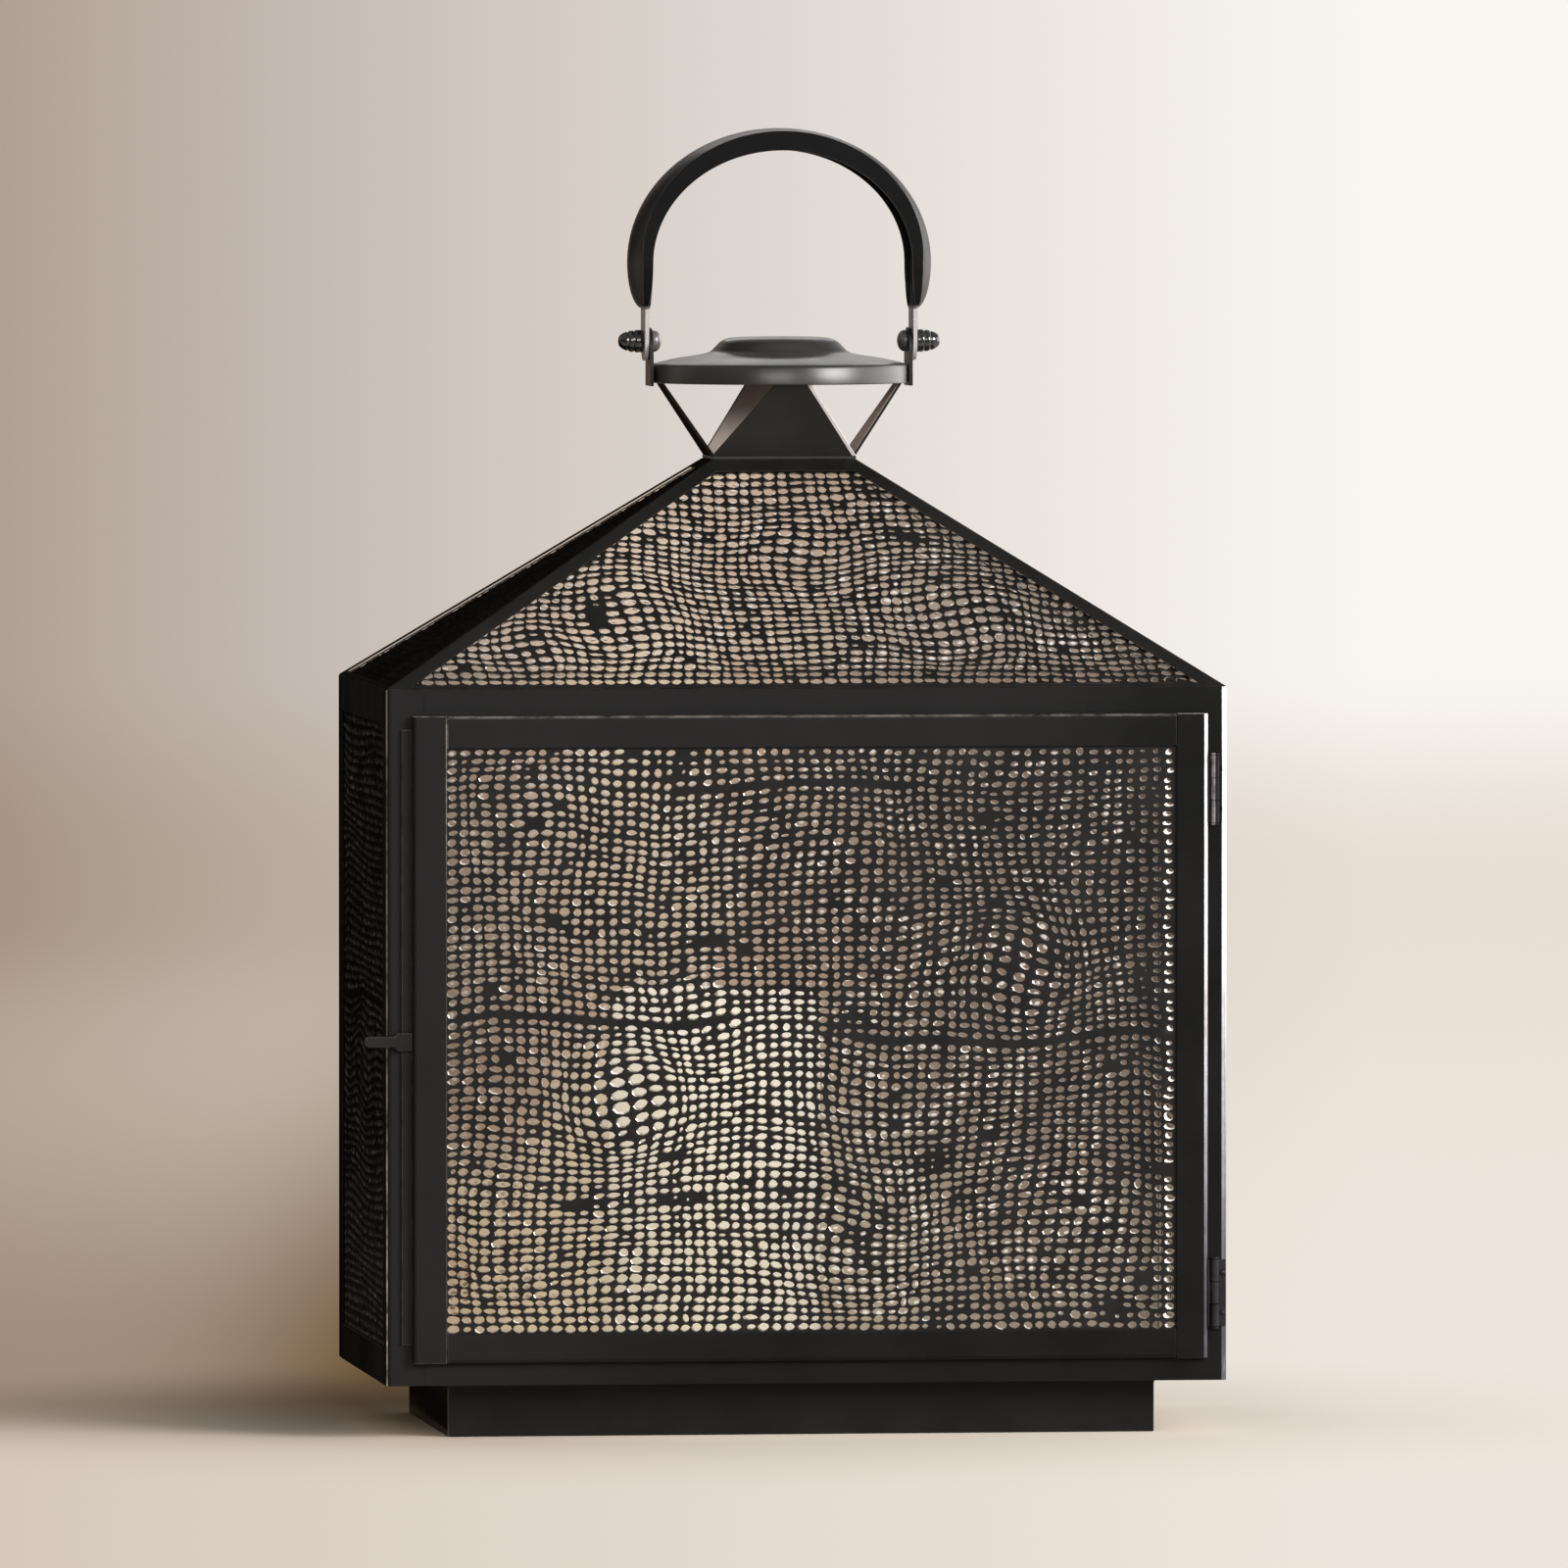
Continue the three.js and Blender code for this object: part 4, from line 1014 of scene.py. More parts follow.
# The front's black, with a painted light towards its upper left
FRONT_LOOK = {
    "colour": (0.0038, 0.0038, 0.0038, 1),
    "upper_left_painted_light": (0.0105, 0.0103, 0.0106, 1),
    "specular": 0.10,
}
frame_paint = painted("satin_black", inside=chamber_mask, **FRONT_LOOK)
frame_edge = painted("satin_black_edge", **FRONT_LOOK)
# Left side copies of the black: a painted shade on the back left post, painted light on the rails
side_paint = painted(
    "shaded_black", colour=(0.0045, 0.0043, 0.004, 1), inside=chamber_mask, specular=0.06
)
lit_side_paint = painted(
    "lit_side_black", colour=(0.015, 0.0146, 0.014, 1), inside=chamber_mask, specular=0.06
)
plinth_paint = painted("plinth_black", colour=(0.0052, 0.0052, 0.0052, 1), specular=0.12)
# The door's front: a painted light towards the upper left, and a painted highlight line at its top
door_paint = painted(
    "door_black",
    inside=beyond("Y", -0.0878),
    painted_light_mask=door_top_mask,
    brown=(0.12, 0.113, 0.106, 1),
    **FRONT_LOOK,
)
# Softened edges of the door, its flange and the roof: a painted highlight line as well as rub-through
door_edge_highlight = painted(
    "door_black_edge", worn_and_lit_colour=(0.19, 0.18, 0.165, 1), wear_and_highlight=0.9, blacked=door_quiet_mask
)
flange_edge_highlight = painted("flange_edge_highlight", worn_and_lit_colour=(0.07, 0.068, 0.066, 1), wear_and_highlight=0.9)
roof_paint = painted("roof_black", inside=under_roof_mask, dust_and_sheen=0.02)
roof_edge_highlight = painted("roof_black_edge", worn_and_lit_colour=(0.055, 0.041, 0.028, 1), wear_and_highlight=0.5, specular=0.03)
# A copy of the black for the left roof, without reflections: a painted shade
LEFT_ROOF_LOOK = {
    "colour": (0.011, 0.0098, 0.0085, 1),
    "roughness": (0.6, 0.7),
    "specular": 0.0,
    "dust_and_sheen": 0.0,
}
left_roof_paint = painted("left_roof_black", inside=under_roof_mask, **LEFT_ROOF_LOOK)
left_roof_edge = painted("left_roof_edge", **LEFT_ROOF_LOOK)
# The back petal, collar and cap plate: inner faces lighter, a painted light
petal_paint = painted(
    "petal_black", colour=(0.021, 0.0205, 0.0195, 1), painted_light_mask=inward_mask, brown=(0.60, 0.51, 0.455, 1)
)
# The back petal's edges: a painted highlight line as well as rub-through
petal_edge_highlight = painted("petal_black_edge", worn_and_lit_colour=(0.16, 0.15, 0.15, 1), wear_and_highlight=0.6)
# The front petal: a painted highlight along its slanting right edge
front_petal_paint = painted(
    "front_petal_black",
    colour=(0.021, 0.0205, 0.0195, 1),
    painted_light_mask=right_rim_mask("front_petal", 0.0015),
    brown=(0.62, 0.61, 0.62, 1),
)
# The left petal: a copy without reflections, a painted shade, with painted light on its inner face
left_petal_paint = painted(
    "left_petal_black",
    colour=(0.020, 0.0155, 0.013, 1),
    roughness=(0.6, 0.7),
    specular=0.0,
    painted_light_mask=inward_mask,
)
# The right petal: its inner face much lighter, a painted light
right_petal_paint = painted("right_petal_black", painted_light_mask=inward_mask, brown=(0.72, 0.64, 0.58, 1))
PETAL_LOOKS = {
    "front": [front_petal_paint],
    "back": [petal_paint, petal_edge_highlight],
    "left": [left_petal_paint],
    "right": [right_petal_paint],
}
# The cap's dust is set high: partly a painted sheen, lighter on what faces up
cap_paint = painted(
    "cap_black",
    colour=(0.016, 0.0155, 0.0148, 1),
    roughness=(0.30, 0.38),
    specular=0.6,
    dust_and_sheen=0.03,
    relief=0.06,
)
handle_paint = painted("handle_black", roughness=(0.27, 0.36), specular=0.3)
# The handle strip: lighter faces and straps, rub-through and painted highlight
grip_paint = painted(
    "grip_black",
    colour=(0.0038, 0.0038, 0.004, 1),
    roughness=(0.3, 0.4),
    specular=0.07,
    painted_light_mask=grip_mask,
    brown=(0.42, 0.405, 0.415, 1),
)
# The handle's edges: a painted highlight line as well as rub-through
handle_edge_highlight = painted(
    "handle_black_edge", worn_and_lit_colour=(0.17, 0.167, 0.17, 1), wear_and_highlight=0.6, roughness=(0.3, 0.4)
)
tab_paint = painted(
    "tab_black", colour=(0.004, 0.004, 0.004, 1), roughness=(0.2, 0.28), specular=0.4
)
steel = painted(
    "dark_steel",
    colour=(0.028, 0.026, 0.027, 1),
    worn_and_lit_colour=(0.18, 0.16, 0.168, 1),
    wear_and_highlight=0.75,
    bare=0.5,
    roughness=(0.24, 0.36),
    specular=0.6,
)
finial_paint = painted(
    "finial_black", colour=(0.006, 0.006, 0.007, 1), roughness=(0.08, 0.14), specular=1.0
)
# Upper hinge: painted highlights on a strip of its barrel and on the frame leaf's right part
hinge_steel = painted(
    "hinge_steel",
    colour=(0.012, 0.013, 0.0135, 1),
    worn_and_lit_colour=(0.30, 0.275, 0.29, 1),
    wear_and_highlight=1.0,
    bare=0.2,
    roughness=(0.4, 0.5),
    specular=0.08,
    blacked=barrel_shade_mask,
    painted_light_mask=beyond("X", 0.153),
    brown=(0.80, 0.80, 0.85, 1),
)
# The lower hinge in plain black: a painted shade
hinge_black = painted("hinge_black", worn_and_lit_colour=(0.03, 0.03, 0.031, 1), wear_and_highlight=0.4)
HINGE_LOOKS = {"upper": hinge_steel, "lower": hinge_black}
# The plinth's front left edge: a painted highlight line as well as rub-through
plinth_edge_highlight = painted(
    "plinth_edge_highlight", worn_and_lit_colour=(0.065, 0.06, 0.052, 1), wear_and_highlight=0.9, blacked=beyond("X", -0.1296)
)
skin_metal = skin_material(
    "pierced_skin", (0.0055, 0.0055, 0.0058, 1), (0.0085, 0.0083, 0.0080, 1), 0.16
)
# Left side skins with less reflection, a painted shade; the wall's is lighter at its foot, painted light
SHADED_SKINS = {
    "left_perforated_sheet": skin_material(
        "left_skin",
        (0.0036, 0.0034, 0.0032, 1),
        (0.006, 0.0056, 0.005, 1),
        0.05,
        foot=(0.017, 0.0165, 0.016, 1),
    ),
    "left_roof_sheet": skin_material(
        "left_roof_skin", (0.007, 0.006, 0.005, 1), (0.012, 0.0105, 0.009, 1), 0.0
    ),
}
painted_highlight_corner = painted_highlight_corner_metal()
left_corner_highlight = left_corner_highlight_paint()
wash = warm_wash_and_painted_glow()
ivory = wax()
wick_material = cotton()


# The lantern

dressed("back_left_post", "housing", [side_paint], POST_EDGE)
dressed("back_right_post", "housing", [frame_paint, frame_edge], POST_EDGE)
for side in ("front", "back", "left", "right"):
    finish = [lit_side_paint] if side == "left" else [frame_paint, frame_edge]
    for level in ("top", "bottom"):
        dressed(f"{side}_{level}_rail", "housing", finish, RAIL_EDGE)
# The right corners take bright metal as a painted highlight, the left corner a painted highlight line
CORNERS = {"left": (left_corner_highlight, -1, 0.002, 0.7, 0.9), "right": (painted_highlight_corner, 1, 0.002, 0.1, 0.99)}
for side, corner in CORNERS.items():
    dressed(f"front_{side}_post", "housing", [frame_paint, frame_edge], RAIL_EDGE, corner=corner)
dressed("plinth", "housing", [plinth_paint, plinth_edge_highlight], 0.0005)
dressed("floor_pan", "housing", [wash])
for side in ("front", "right", "back", "left"):
    finish = [left_roof_paint, left_roof_edge] if side == "left" else [roof_paint, roof_edge_highlight]
    dressed(f"{side}_roof_frame", "housing", finish, 0.0004)
    dressed(f"{side}_petal", "housing", PETAL_LOOKS[side])
dressed("vent_collar", "housing", [petal_paint])
dressed("cap_plate", "housing", [petal_paint], 0.0002)
for side in ("left", "right"):
    dressed(f"{side}_ear", "housing", [handle_paint, handle_edge_highlight])
for part in ("left_stile", "top_rail", "bottom_rail"):
    dressed(f"door_{part}", "door", [door_paint, door_edge_highlight], 0.0004, 3)
# The door's right corner takes the same painted highlight
dressed(
    "door_right_stile", "door", [door_paint, door_edge_highlight], corner=(painted_highlight_corner, 1, 0.0015, 0.1, 0.99)
)
dressed("door_closing_flange", "door", [door_paint, flange_edge_highlight], 0.00025)
dressed("door_pull_tab", "door", [tab_paint], 0.0006, 3)
for level, finish in HINGE_LOOKS.items():
    for part, body in (("frame_leaf", "housing"), ("door_leaf", "door"), ("pin", "housing")):
        dressed(f"{level}_hinge_{part}", body, [finish], 0.00015)
dressed("catch_magnet", "housing", [steel], 0.0004)
dressed("catch_strike", "door", [steel], 0.0002)

SIDE_HOLE = (0.72,) * 4
ROOF_HOLE = (0.76,) * 4
DOOR_WHORLS = (
    (0.066, 0.086, 0.017, 0.50, 0.25),
    (0.211, 0.135, 0.018, 0.45, -0.35),
    (0.030, 0.196, 0.020, 0.15, 0.20),
    (0.150, 0.040, 0.020, 0.15, -0.20),
)
BACK_WHORLS = ((0.09, 0.10, 0.020, 0.30, 0.30), (0.20, 0.16, 0.020, 0.30, -0.30))
LEFT_WHORLS = ((0.07, 0.10, 0.02, 0.3, -0.3),)
RIGHT_WHORLS = ((0.09, 0.13, 0.02, 0.3, 0.3),)
FRONT_ROOF_WHORLS = (
    (0.079, 0.033, 0.021, 0.40, 0.3),
    (0.046, 0.014, 0.014, 0.30, 0.3),
    (0.150, 0.064, 0.016, 0.30, -0.3),
    (0.205, 0.028, 0.020, 0.30, 0.3),
)
BACK_ROOF_WHORLS = ((0.10, 0.04, 0.017, 0.3, 0.3),)
LEFT_ROOF_WHORLS = ((0.07, 0.05, 0.017, 0.3, 0.3),)
RIGHT_ROOF_WHORLS = ((0.08, 0.05, 0.017, 0.3, -0.3),)
DOOR_CRACKS = ((33, 0.0, 0.38), (31, 0.56, 1.0), (58, 0.30, 0.62))
BACK_CRACKS = ((30, 0.0, 0.4), (34, 0.5, 1.0))
SHEETS = (
    # node, across, seed, hole, glint, whorls (x, y, reach, swell, twist), cracks (row, from, to)
    ("door_perforated_sheet", (1, 0, 0), 11, (0.84, 0.70, 0.70, 0.48), 0.75, DOOR_WHORLS, DOOR_CRACKS),
    ("back_perforated_sheet", (-1, 0, 0), 23, (0.50,) * 4, 0.6, BACK_WHORLS, BACK_CRACKS),
    ("left_perforated_sheet", (0, -1, 0), 37, SIDE_HOLE, 0.04, LEFT_WHORLS, ((36, 0.0, 1.0),)),
    ("right_perforated_sheet", (0, 1, 0), 41, SIDE_HOLE, 0.5, RIGHT_WHORLS, ((33, 0.0, 1.0),)),
    ("front_roof_sheet", (1, 0, 0), 53, (0.88, 0.82, 0.86, 0.80), 0.8, FRONT_ROOF_WHORLS),
    ("back_roof_sheet", (-1, 0, 0), 67, (0.52,) * 4, 0.6, BACK_ROOF_WHORLS),
    ("left_roof_sheet", (0, -1, 0), 71, ROOF_HOLE, 0.0, LEFT_ROOF_WHORLS),
    ("right_roof_sheet", (0, 1, 0), 83, ROOF_HOLE, 0.6, RIGHT_ROOF_WHORLS),
)
for sheet in SHEETS:
    pierced_sheet(*sheet)


def cove():
    """The hollow strip where the body stands on the plinth: a quarter circle, carried round."""
    low, high = np.array(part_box("plinth"))
    turn = np.linspace(0, math.pi / 2, 7)
    out = np.concatenate([COVE_RADIUS * (1 - np.cos(turn)), [-COVE_LAP, -COVE_LAP]])
    rise = np.concatenate([-COVE_RADIUS * (1 - np.sin(turn)), [0, -COVE_RADIUS]])
    sections = []
    for sx, sy in ((-1, -1), (1, -1), (1, 1), (-1, 1)):
        x = (high[0] if sx > 0 else low[0]) + sx * (out - COVE_GAP)
        y = (high[1] if sy > 0 else low[1]) + sy * (out - COVE_GAP)
        sections.append(np.stack([x, y, high[2] + rise - COVE_GAP], axis=1))
    made = carried("plinth_cove", np.array(sections), "housing", [frame_paint], closed=True)


def handle():
    """One strip: flat at both ends, pressed to a crowned channel round the arch.

    A section is a point on the inner edge line, a direction outwards, a half width, and a roll from
    0, flat, to 1. The channel's flanks stand square at its edges, and its back is the parabola
    depth - crown s^2, with s from -1 to 1 across.
    """
    grip_inner = ARCH_HALF_WIDTH - GRIP_DEPTH
    end = np.linspace(0.12, 1, 9) * math.pi / 2
    leaf = np.linspace(0, 1, 20) * math.pi / 2
    arch = np.linspace(0, 1, 40)[1:] * math.pi / 2
    radius = STRAP_WIDTH / 2
    normal = np.stack([np.cos(arch) / ARCH_HALF_WIDTH, np.sin(arch) / ARCH_RISE], axis=1)
    normal /= np.linalg.norm(normal, axis=1)[:, None]
    straight = len(end) + len(leaf)
    roll = np.concatenate([0 * end, np.sin(leaf), np.ones(len(arch))])
    flatter = (CROWN_AT_TOP - CROWN_AT_LEGS) * np.sin(arch)
    crown = CROWN_AT_LEGS + np.concatenate([np.zeros(straight), flatter])
    leaf_x = STRAP_INNER + (grip_inner - STRAP_INNER) * np.sin(leaf)
    arch_x = ARCH_HALF_WIDTH * np.cos(arch) - GRIP_DEPTH * normal[:, 0]
    x = np.concatenate([0 * end + STRAP_INNER, leaf_x, arch_x])
    end_z = PIVOT_HEIGHT - radius * np.cos(end)
    leaf_z = ARCH_MIDDLE - LEAF_LENGTH * np.cos(leaf)
    arch_z = ARCH_MIDDLE + ARCH_RISE * np.sin(arch) - GRIP_DEPTH * normal[:, 1]
    z = np.concatenate([end_z, leaf_z, arch_z])
    leaf_half = (STRAP_WIDTH + (GRIP_WIDTH - STRAP_WIDTH) * np.sin(leaf)) / 2
    half = np.concatenate([radius * np.sin(end), leaf_half, np.full(len(arch), GRIP_WIDTH / 2)])
    out_x = np.concatenate([np.ones(straight), normal[:, 0]])
    out_z = np.concatenate([np.zeros(straight), normal[:, 1]])
    x, out_x = (mirrored(values, -1) for values in (x, out_x))
    z, out_z, half, roll, crown = (mirrored(values) for values in (z, out_z, half, roll, crown))
    share = np.concatenate([[-1], np.linspace(-1, 1, 15), [1]])
    flat_share = np.linspace(-1, 1, len(share))
    edge = np.zeros(len(share))
    edge[[0, -1]] = 1
    spread = (1 - roll) * flat_share + roll * share
    rise = (GRIP_DEPTH - crown * share**2) * (1 - edge)
    outer_away = (1 - roll) * STRAP_THICKNESS + roll * rise
    inner_away = roll * np.maximum(rise - STRAP_THICKNESS, 0)
    inner_half = half - roll * STRAP_THICKNESS
    away = np.concatenate([outer_away, inner_away[:, ::-1]], axis=1)
    across = np.concatenate([half * spread, (inner_half * spread)[:, ::-1]], axis=1)
    sections = np.stack([x + out_x * away, across, z + out_z * away], axis=2)
    made = carried("handle_strip", sections, "handle", [grip_paint, handle_edge_highlight], smooth=35)
    soften(made, 0.0003, 2, 40)
    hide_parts("handle")


# Profiles as shares of a radius and a height
LID_CURVE = (
    (1.0, -0.09),
    (0.985, 0),
    (0.93, 0.075),
    (0.8, 0.21),
    (0.62, 0.34),
    (0.545, 0.44),
    (0.5, 0.63),
    (0.455, 0.83),
    (0.4, 0.94),
    (0.32, 0.98),
    (0.15, 0.998),
    (0, 1),
)
BEADS = (
    (0.96, 0.0),
    (1.0, 0.10),
    (0.99, 0.26),
    (0.90, 0.33),
    (0.95, 0.40),
    (0.92, 0.52),
    (0.80, 0.59),
    (0.83, 0.66),
    (0.70, 0.80),
    (0.42, 0.95),
    (0.0, 1.0),
)


def cap_lid():
    """The spun lid: its CAD profile as a smooth curve, with a rolled rim."""
    low, high = np.array(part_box("cap_lid"))
    rim = high[2] - LID_RISE
    outside = rounded(LID_CURVE, 6) * (CAP_RADIUS, LID_RISE) + (0, rim)
    outside[:, 0] = np.clip(outside[:, 0], 0, CAP_RADIUS)
    outside[:, 1] = np.minimum(outside[:, 1], high[2])
    inside = outside[::-1] - (CAP_SHEET, CAP_SHEET)
    inside[:, 0] = np.maximum(inside[:, 0], 0)
    inside = inside[inside[:, 1] < inside[0, 1] + 1e-9]
    foot = low[2]
    edge = [(CAP_RADIUS - CAP_SHEET, foot), (CAP_RADIUS - RIM_EDGE, foot), (CAP_RADIUS, foot + RIM_EDGE)]
    profile = np.vstack([inside, edge, outside])
    made = turned("cap_lid_spun", profile, (0, 0, 0), (0, 0, 1), "housing", [cap_paint], 128)
    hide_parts("cap_lid")


def pivots():
    """Bolts with domed heads, and finials of three beads screwed over their ends."""
    for side, name in ((-1, "left"), (1, "right")):
        low, high = np.array(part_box(f"{name}_finial"))
        start = min(abs(low[0]), abs(high[0]))
        beads = rounded(np.array(BEADS) * (FINIAL_RADIUS, FINIAL_LENGTH) + (0, start))
        beads[:, 0] = np.clip(beads[:, 0], 0, FINIAL_RADIUS)
        beads[:, 1] = np.clip(beads[:, 1], start, start + FINIAL_LENGTH)
        bore = BOLT_RADIUS + PIVOT_CLEARANCE
        depth = start + FINIAL_BORE
        profile = np.vstack([(0, depth), (bore, depth), (bore, start), beads])
        base, axis = (0, 0, PIVOT_HEIGHT), (side, 0, 0)
        made = turned(f"{name}_finial_beads", profile, base, axis, "housing", [finial_paint], 48)
        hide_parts(f"{name}_finial")
        low, high = np.array(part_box(f"{name}_pivot_bolt"))
        first, end = sorted((abs(low[0]), abs(high[0])))
        radius = high[2] - PIVOT_HEIGHT
        head = first + BOLT_HEAD
        shank = [(radius, head), (BOLT_RADIUS, head), (BOLT_RADIUS, end), (0, end)]
        profile = np.vstack([dome(radius, first, BOLT_HEAD * 0.8, 9), shank])
        made = turned(f"{name}_pivot_bolt_domed", profile, base, axis, "housing", [steel], 40)
        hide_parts(f"{name}_pivot_bolt")


def rivets():
    """Hinge rivets with domed heads, turned about an axis along -Y."""
    for level, finish in HINGE_LOOKS.items():
        for end in ("top", "bottom"):
            node = f"{level}_hinge_rivet_{end}"
            low, high = np.array(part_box(node))
            radius = (high[2] - low[2]) / 2
            base = ((low[0] + high[0]) / 2, 0, (low[2] + high[2]) / 2)
            face, foot = -low[1], -high[1]
            shank = [(RIVET_SHANK, face - RIVET_HEAD), (RIVET_SHANK, foot), (0, foot)]
            profile = np.vstack([dome(radius, face, -RIVET_HEAD, 7), shank])
            made = turned(f"{node}_domed", profile, base, (0, -1, 0), "housing", [finish], 24)
            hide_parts(node)


def candle():
    """A pillar of wax with a rounded shoulder, a shallow dish and a slightly uneven side."""
    low, high = np.array(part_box("candle"))
    radius = (high[0] - low[0]) / 2
    middle = ((high[0] + low[0]) / 2, 0, 0)
    foot, top = low[2], high[2]
    edge = CANDLE_EDGE
    hole_radius, hole_depth = WICK_HOLE
    turn = np.linspace(0, math.pi / 2, 7)
    shoulder = np.stack([radius - edge + edge * np.cos(turn), top - edge + edge * np.sin(turn)], axis=1)
    side = np.linspace(foot + edge / 2, top - edge, 26)[:-1]
    dish = [
        (radius - edge - 0.001, top - 0.0001),
        (radius - 0.008, top - 0.0014),
        (radius - 0.015, top - 0.0024),
        (0.012, top - 0.0025),
        (0.0028, top - 0.0022),
    ]
    hole = [(hole_radius, top - 0.0026), (hole_radius, top - hole_depth), (0, top - hole_depth)]
    base = [(0, foot), (radius - edge / 2, foot)]
    wall = np.stack([np.full(len(side), radius), side], axis=1)
    profile = np.vstack([base, wall, shoulder, rounded(dish), hole])

    def uneven(around, height):
        waves = np.sin(3 * around + 30 * height) * np.sin(2 * around + 1.3 + 55 * height)
        return 1 - WAX_UNEVEN * (1 + waves) / 2

    made = turned("candle_pillar", profile, middle, (0, 0, 1), "candle", [ivory], 96, uneven)
    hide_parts("candle")
    low, high = np.array(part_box("wick"))
    steps = np.linspace(0, 1, 40)
    height = low[2] + steps * (high[2] - low[2])
    around = np.linspace(0, 2 * math.pi, 24, endpoint=False)[None, :]
    twist = around * STRANDS + height[:, None] * STRAND_TWIST
    reach = (high[0] - low[0]) / 2 * (0.86 + 0.13 * np.cos(twist))
    centre = (high[0] + low[0]) / 2
    x, y = centre + reach * np.cos(around), reach * np.sin(around)
    sections = np.stack([x, y, height[:, None] + 0 * reach], axis=2)
    made = carried("wick_twisted", sections, "candle", [wick_material], smooth=60)
    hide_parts("wick")


# Studio


def stage():
    """A round floor that curves up to a wall, painted beige on the left and near white on the right,
    with a warm shade behind the lantern's left. Reflections see its front part dimmed.

    The profile is flat to FLAT_FLOOR, then a quarter circle, and is turned about Z.
    """
    made, tree, shader = material("studio_paper")
    about = {"Vector": object_place(tree), "Rotation": (0, 0, math.radians(STAGE_TURN))}
    place = xyz(tree, add(tree, "Mapping", about).outputs["Vector"])
    x, y = place["X"], place["Y"]
    far = add(tree, "VectorMath", {0: object_place(tree)}, operation="LENGTH").outputs["Value"]
    spread = times(either(plus(y, 8.27), 4.0), 0.035)
    side = maths("POWER", ranged(maths("DIVIDE", x, spread), -1.25, 0.75, kind="LINEAR"), 0.85)
    near = blend(side, (0.636, 0.536, 0.46, 1), (0.85, 0.785, 0.71, 1))
    middle = blend(side, (0.29, 0.205, 0.15, 1), (0.81, 0.74, 0.66, 1))
    deep = blend(side, (0.32, 0.23, 0.17, 1), (0.95, 0.92, 0.885, 1))
    base = blend(ranged(y, 0.6, 4.4), near, middle)
    from_plinth = maths("DIVIDE", plus(x, 0.14), 0.07)
    bell = maths("EXPONENT", times(from_plinth, from_plinth, -1.0))
    shade = plus(times(ranged(y, 3.6, 0.3), 0.64), times(bell, 0.36))
    shade = times(shade, ranged(y, -0.2, 0.13), ranged(x, 0.0, -0.14))
    base = blend(shade, base, (0.165, 0.095, 0.035, 1))
    base = blend(ranged(y, 4.8, 8.6), base, deep)
    path = tree.nodes.new("ShaderNodeLightPath").outputs
    dim_front = times(path["Is Glossy Ray"], ranged(y, -0.15, -2.0), 0.8)
    base = blend(dim_front, base, NO_LIGHT)
    fill(shader, {"Base Color": base, "Roughness": 0.9, "Specular IOR Level": 0.1})
    light = add(tree, "Emission", {"Color": base, "Strength": 1.0})
    seen = either(either(path["Is Camera Ray"], path["Is Glossy Ray"]), path["Is Transmission Ray"])
    share = times(seen, ranged(far, 0.15, 0.42))
    both = add(tree, "MixShader", {0: share, 1: shader.outputs[0], 2: light.outputs[0]})
    fill(tree.nodes["Material Output"], {"Surface": both.outputs[0]})
    flat = np.array([(0.0001, 0), (0.5, 0), (1, 0), (2, 0), (4, 0), (7, 0)])
    bend = dome(FLOOR_BEND, 0, FLOOR_BEND, 13) + (FLAT_FLOOR, 0)
    radius, height = np.vstack([flat, bend, (FLAT_FLOOR + FLOOR_BEND, WALL_TOP)]).T
    around = np.linspace(0, 2 * math.pi, 96, endpoint=False)
    reach, height = radius[:, None], height[:, None] + 0 * around
    points = np.stack([reach * np.cos(around), reach * np.sin(around), height], axis=2)
    faces = ring_faces(len(radius), len(around))
    mesh_object("studio_floor", points.reshape(-1, 3), faces, None, [made], 180)


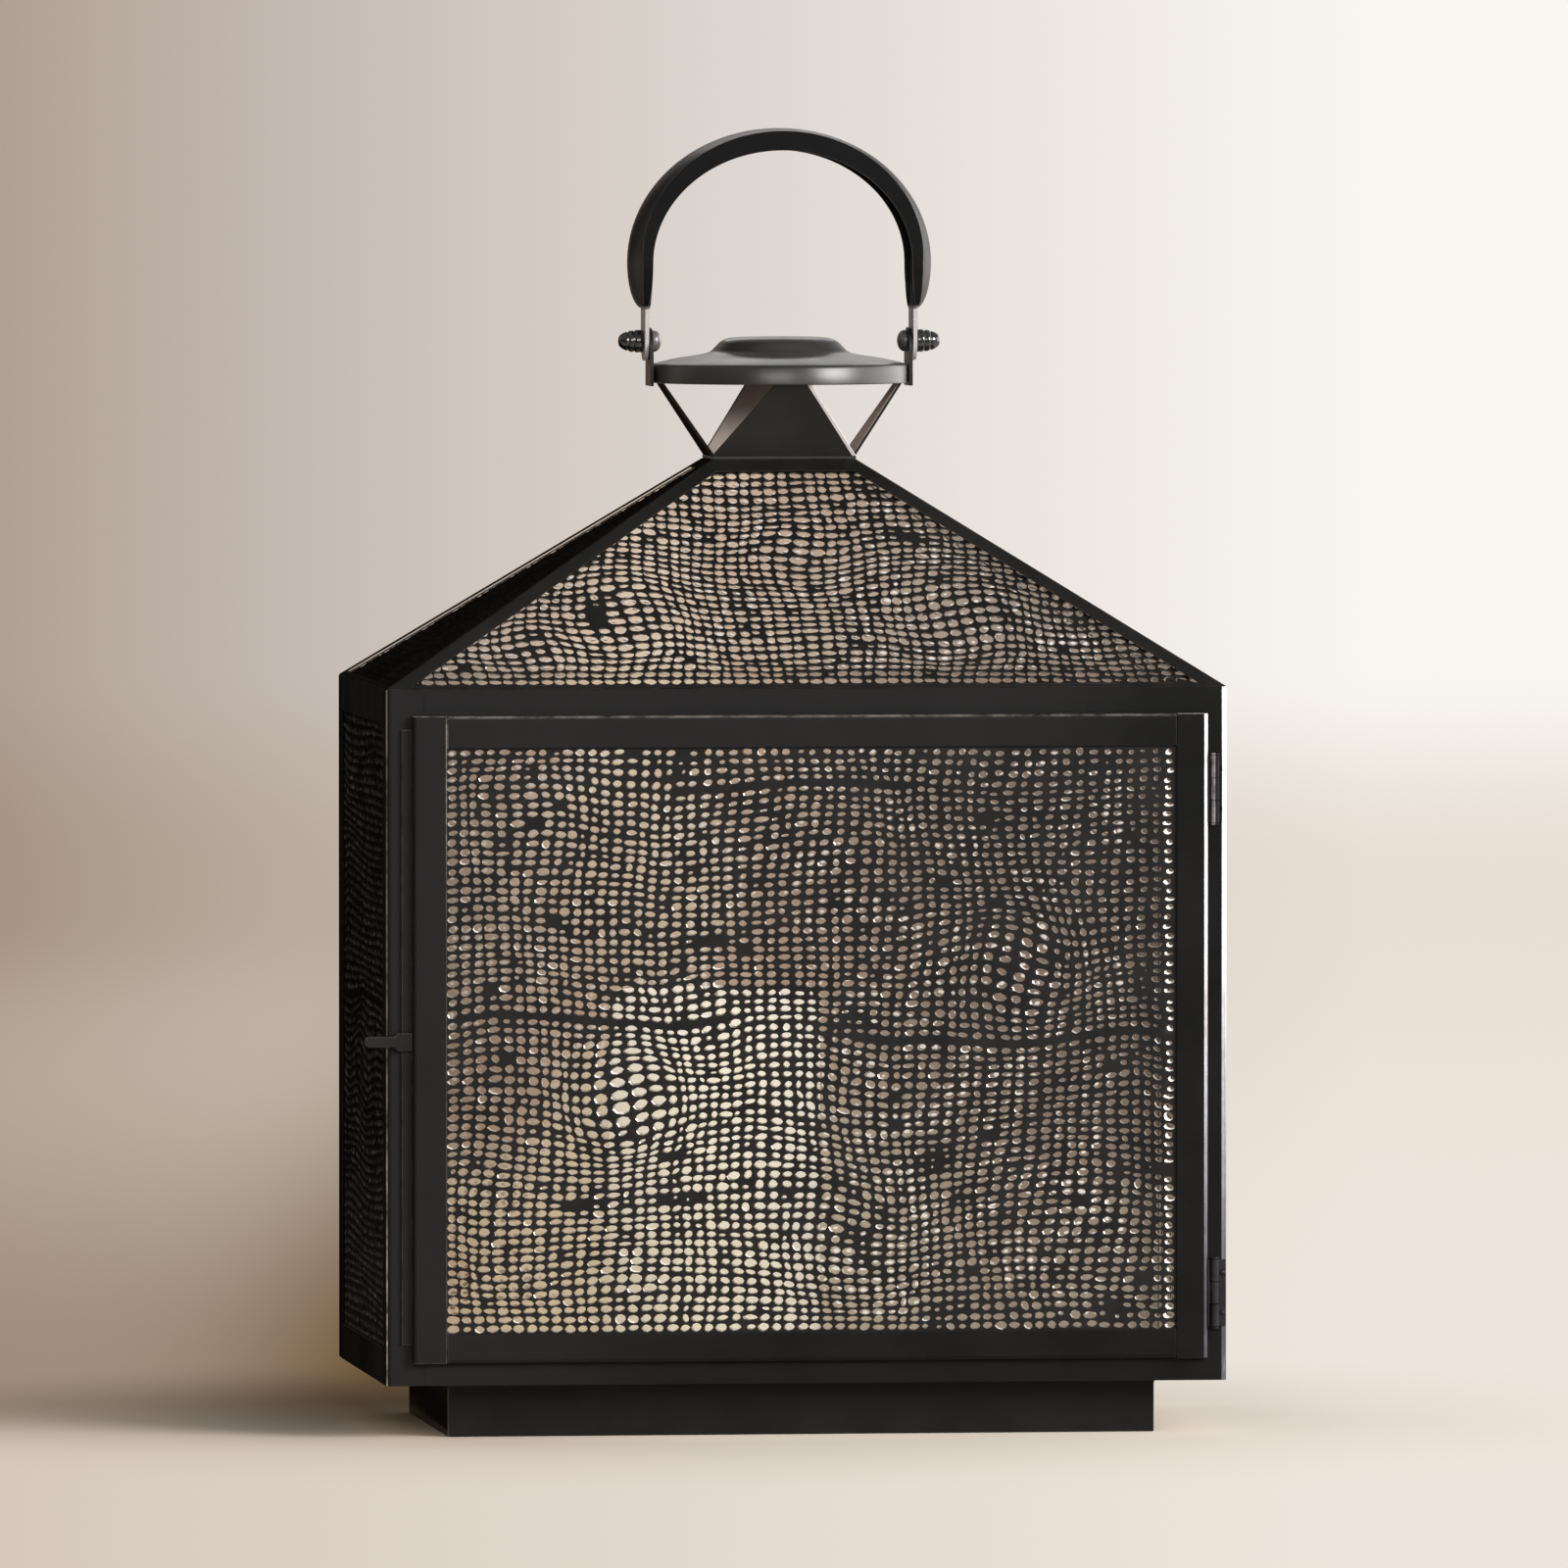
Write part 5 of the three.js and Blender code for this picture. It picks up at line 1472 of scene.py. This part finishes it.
def dark_flag():
    """A black card lying and standing behind the lantern's left, seen only in reflections, so that
    the left side stays dark."""
    made, _, shader = material("flag_cloth")
    fill(shader, {"Base Color": (0.010, 0.009, 0.008, 1), "Specular IOR Level": 0.0})
    near, far, floor, top = (-0.14, 0.24), (-2.2, 1.5), 0.002, 1.3
    lying = [(-0.131, -0.09, floor), (far[0], -0.09, floor), (*near, floor), (*far, floor)]
    points = np.array([*lying, (*near, top), (*far, top)])
    faces = [(0, 1, 3, 2), (2, 3, 5, 4)]
    card = mesh_object("dark_flag", points, faces, None, [made], 180)
    for ray in ("camera", "diffuse", "shadow", "transmission"):
        setattr(card, f"visible_{ray}", False)


def soft_box(name, place, size, power, colour=(1, 1, 1), target=(0, 0, 0.23), glossy_only=False):
    """An area lamp of size (width, height) aimed at target. glossy_only keeps it to reflections."""
    lamp = bpy.data.lights.new(name, "AREA")
    lamp.shape = "RECTANGLE"
    lamp.size, lamp.size_y = size
    lamp.energy = power
    lamp.color = colour
    made = bpy.data.objects.new(name, lamp)
    made.location = place
    made.rotation_euler = (Vector(target) - Vector(place)).to_track_quat("-Z", "Y").to_euler()
    made.visible_camera = False
    made.visible_diffuse = not glossy_only
    scene.collection.objects.link(made)


for build in (cove, handle, cap_lid, pivots, rivets, candle, stage, dark_flag):
    build()
soft_box("key_right", (3.3, -3.1, 1.9), (2.4, 1.8), 330, (1.0, 0.985, 0.965))
soft_box("rim_left", (-1.6, 1.8, 2.0), (1.2, 0.8), 4, (1.0, 0.95, 0.88))
soft_box("front_fill", (-0.6, -4.6, 1.5), (2.4, 1.6), 60)
soft_box("right_wall", (2.8, 1.0, 0.9), (3.6, 1.8), 62, glossy_only=True)
soft_box("left_strip", (-2.0, 1.0, 0.9), (0.4, 1.2), 1, glossy_only=True)
soft_box("back_strip", (0.4, 3.6, 1.9), (1.8, 0.4), 8, glossy_only=True)

world = bpy.data.worlds.new("studio")
scene.world = world
world.use_nodes = True
fill(world.node_tree.nodes["Background"], {"Color": (0.86, 0.84, 0.82, 1), "Strength": 0.4})

camera = bpy.data.cameras.new("photograph")
camera.sensor_width = 36
camera.lens = 513.9
camera.clip_start = 0.1
camera.clip_end = 200
eye = bpy.data.objects.new("photograph", camera)
eye.location = (-0.987, -8.208, 0.551)
aim = Vector((0.0018, -0.0002, 0.2362)) - Vector(eye.location)
eye.rotation_euler = aim.to_track_quat("-Z", "Y").to_euler()
scene.collection.objects.link(eye)
scene.camera = eye
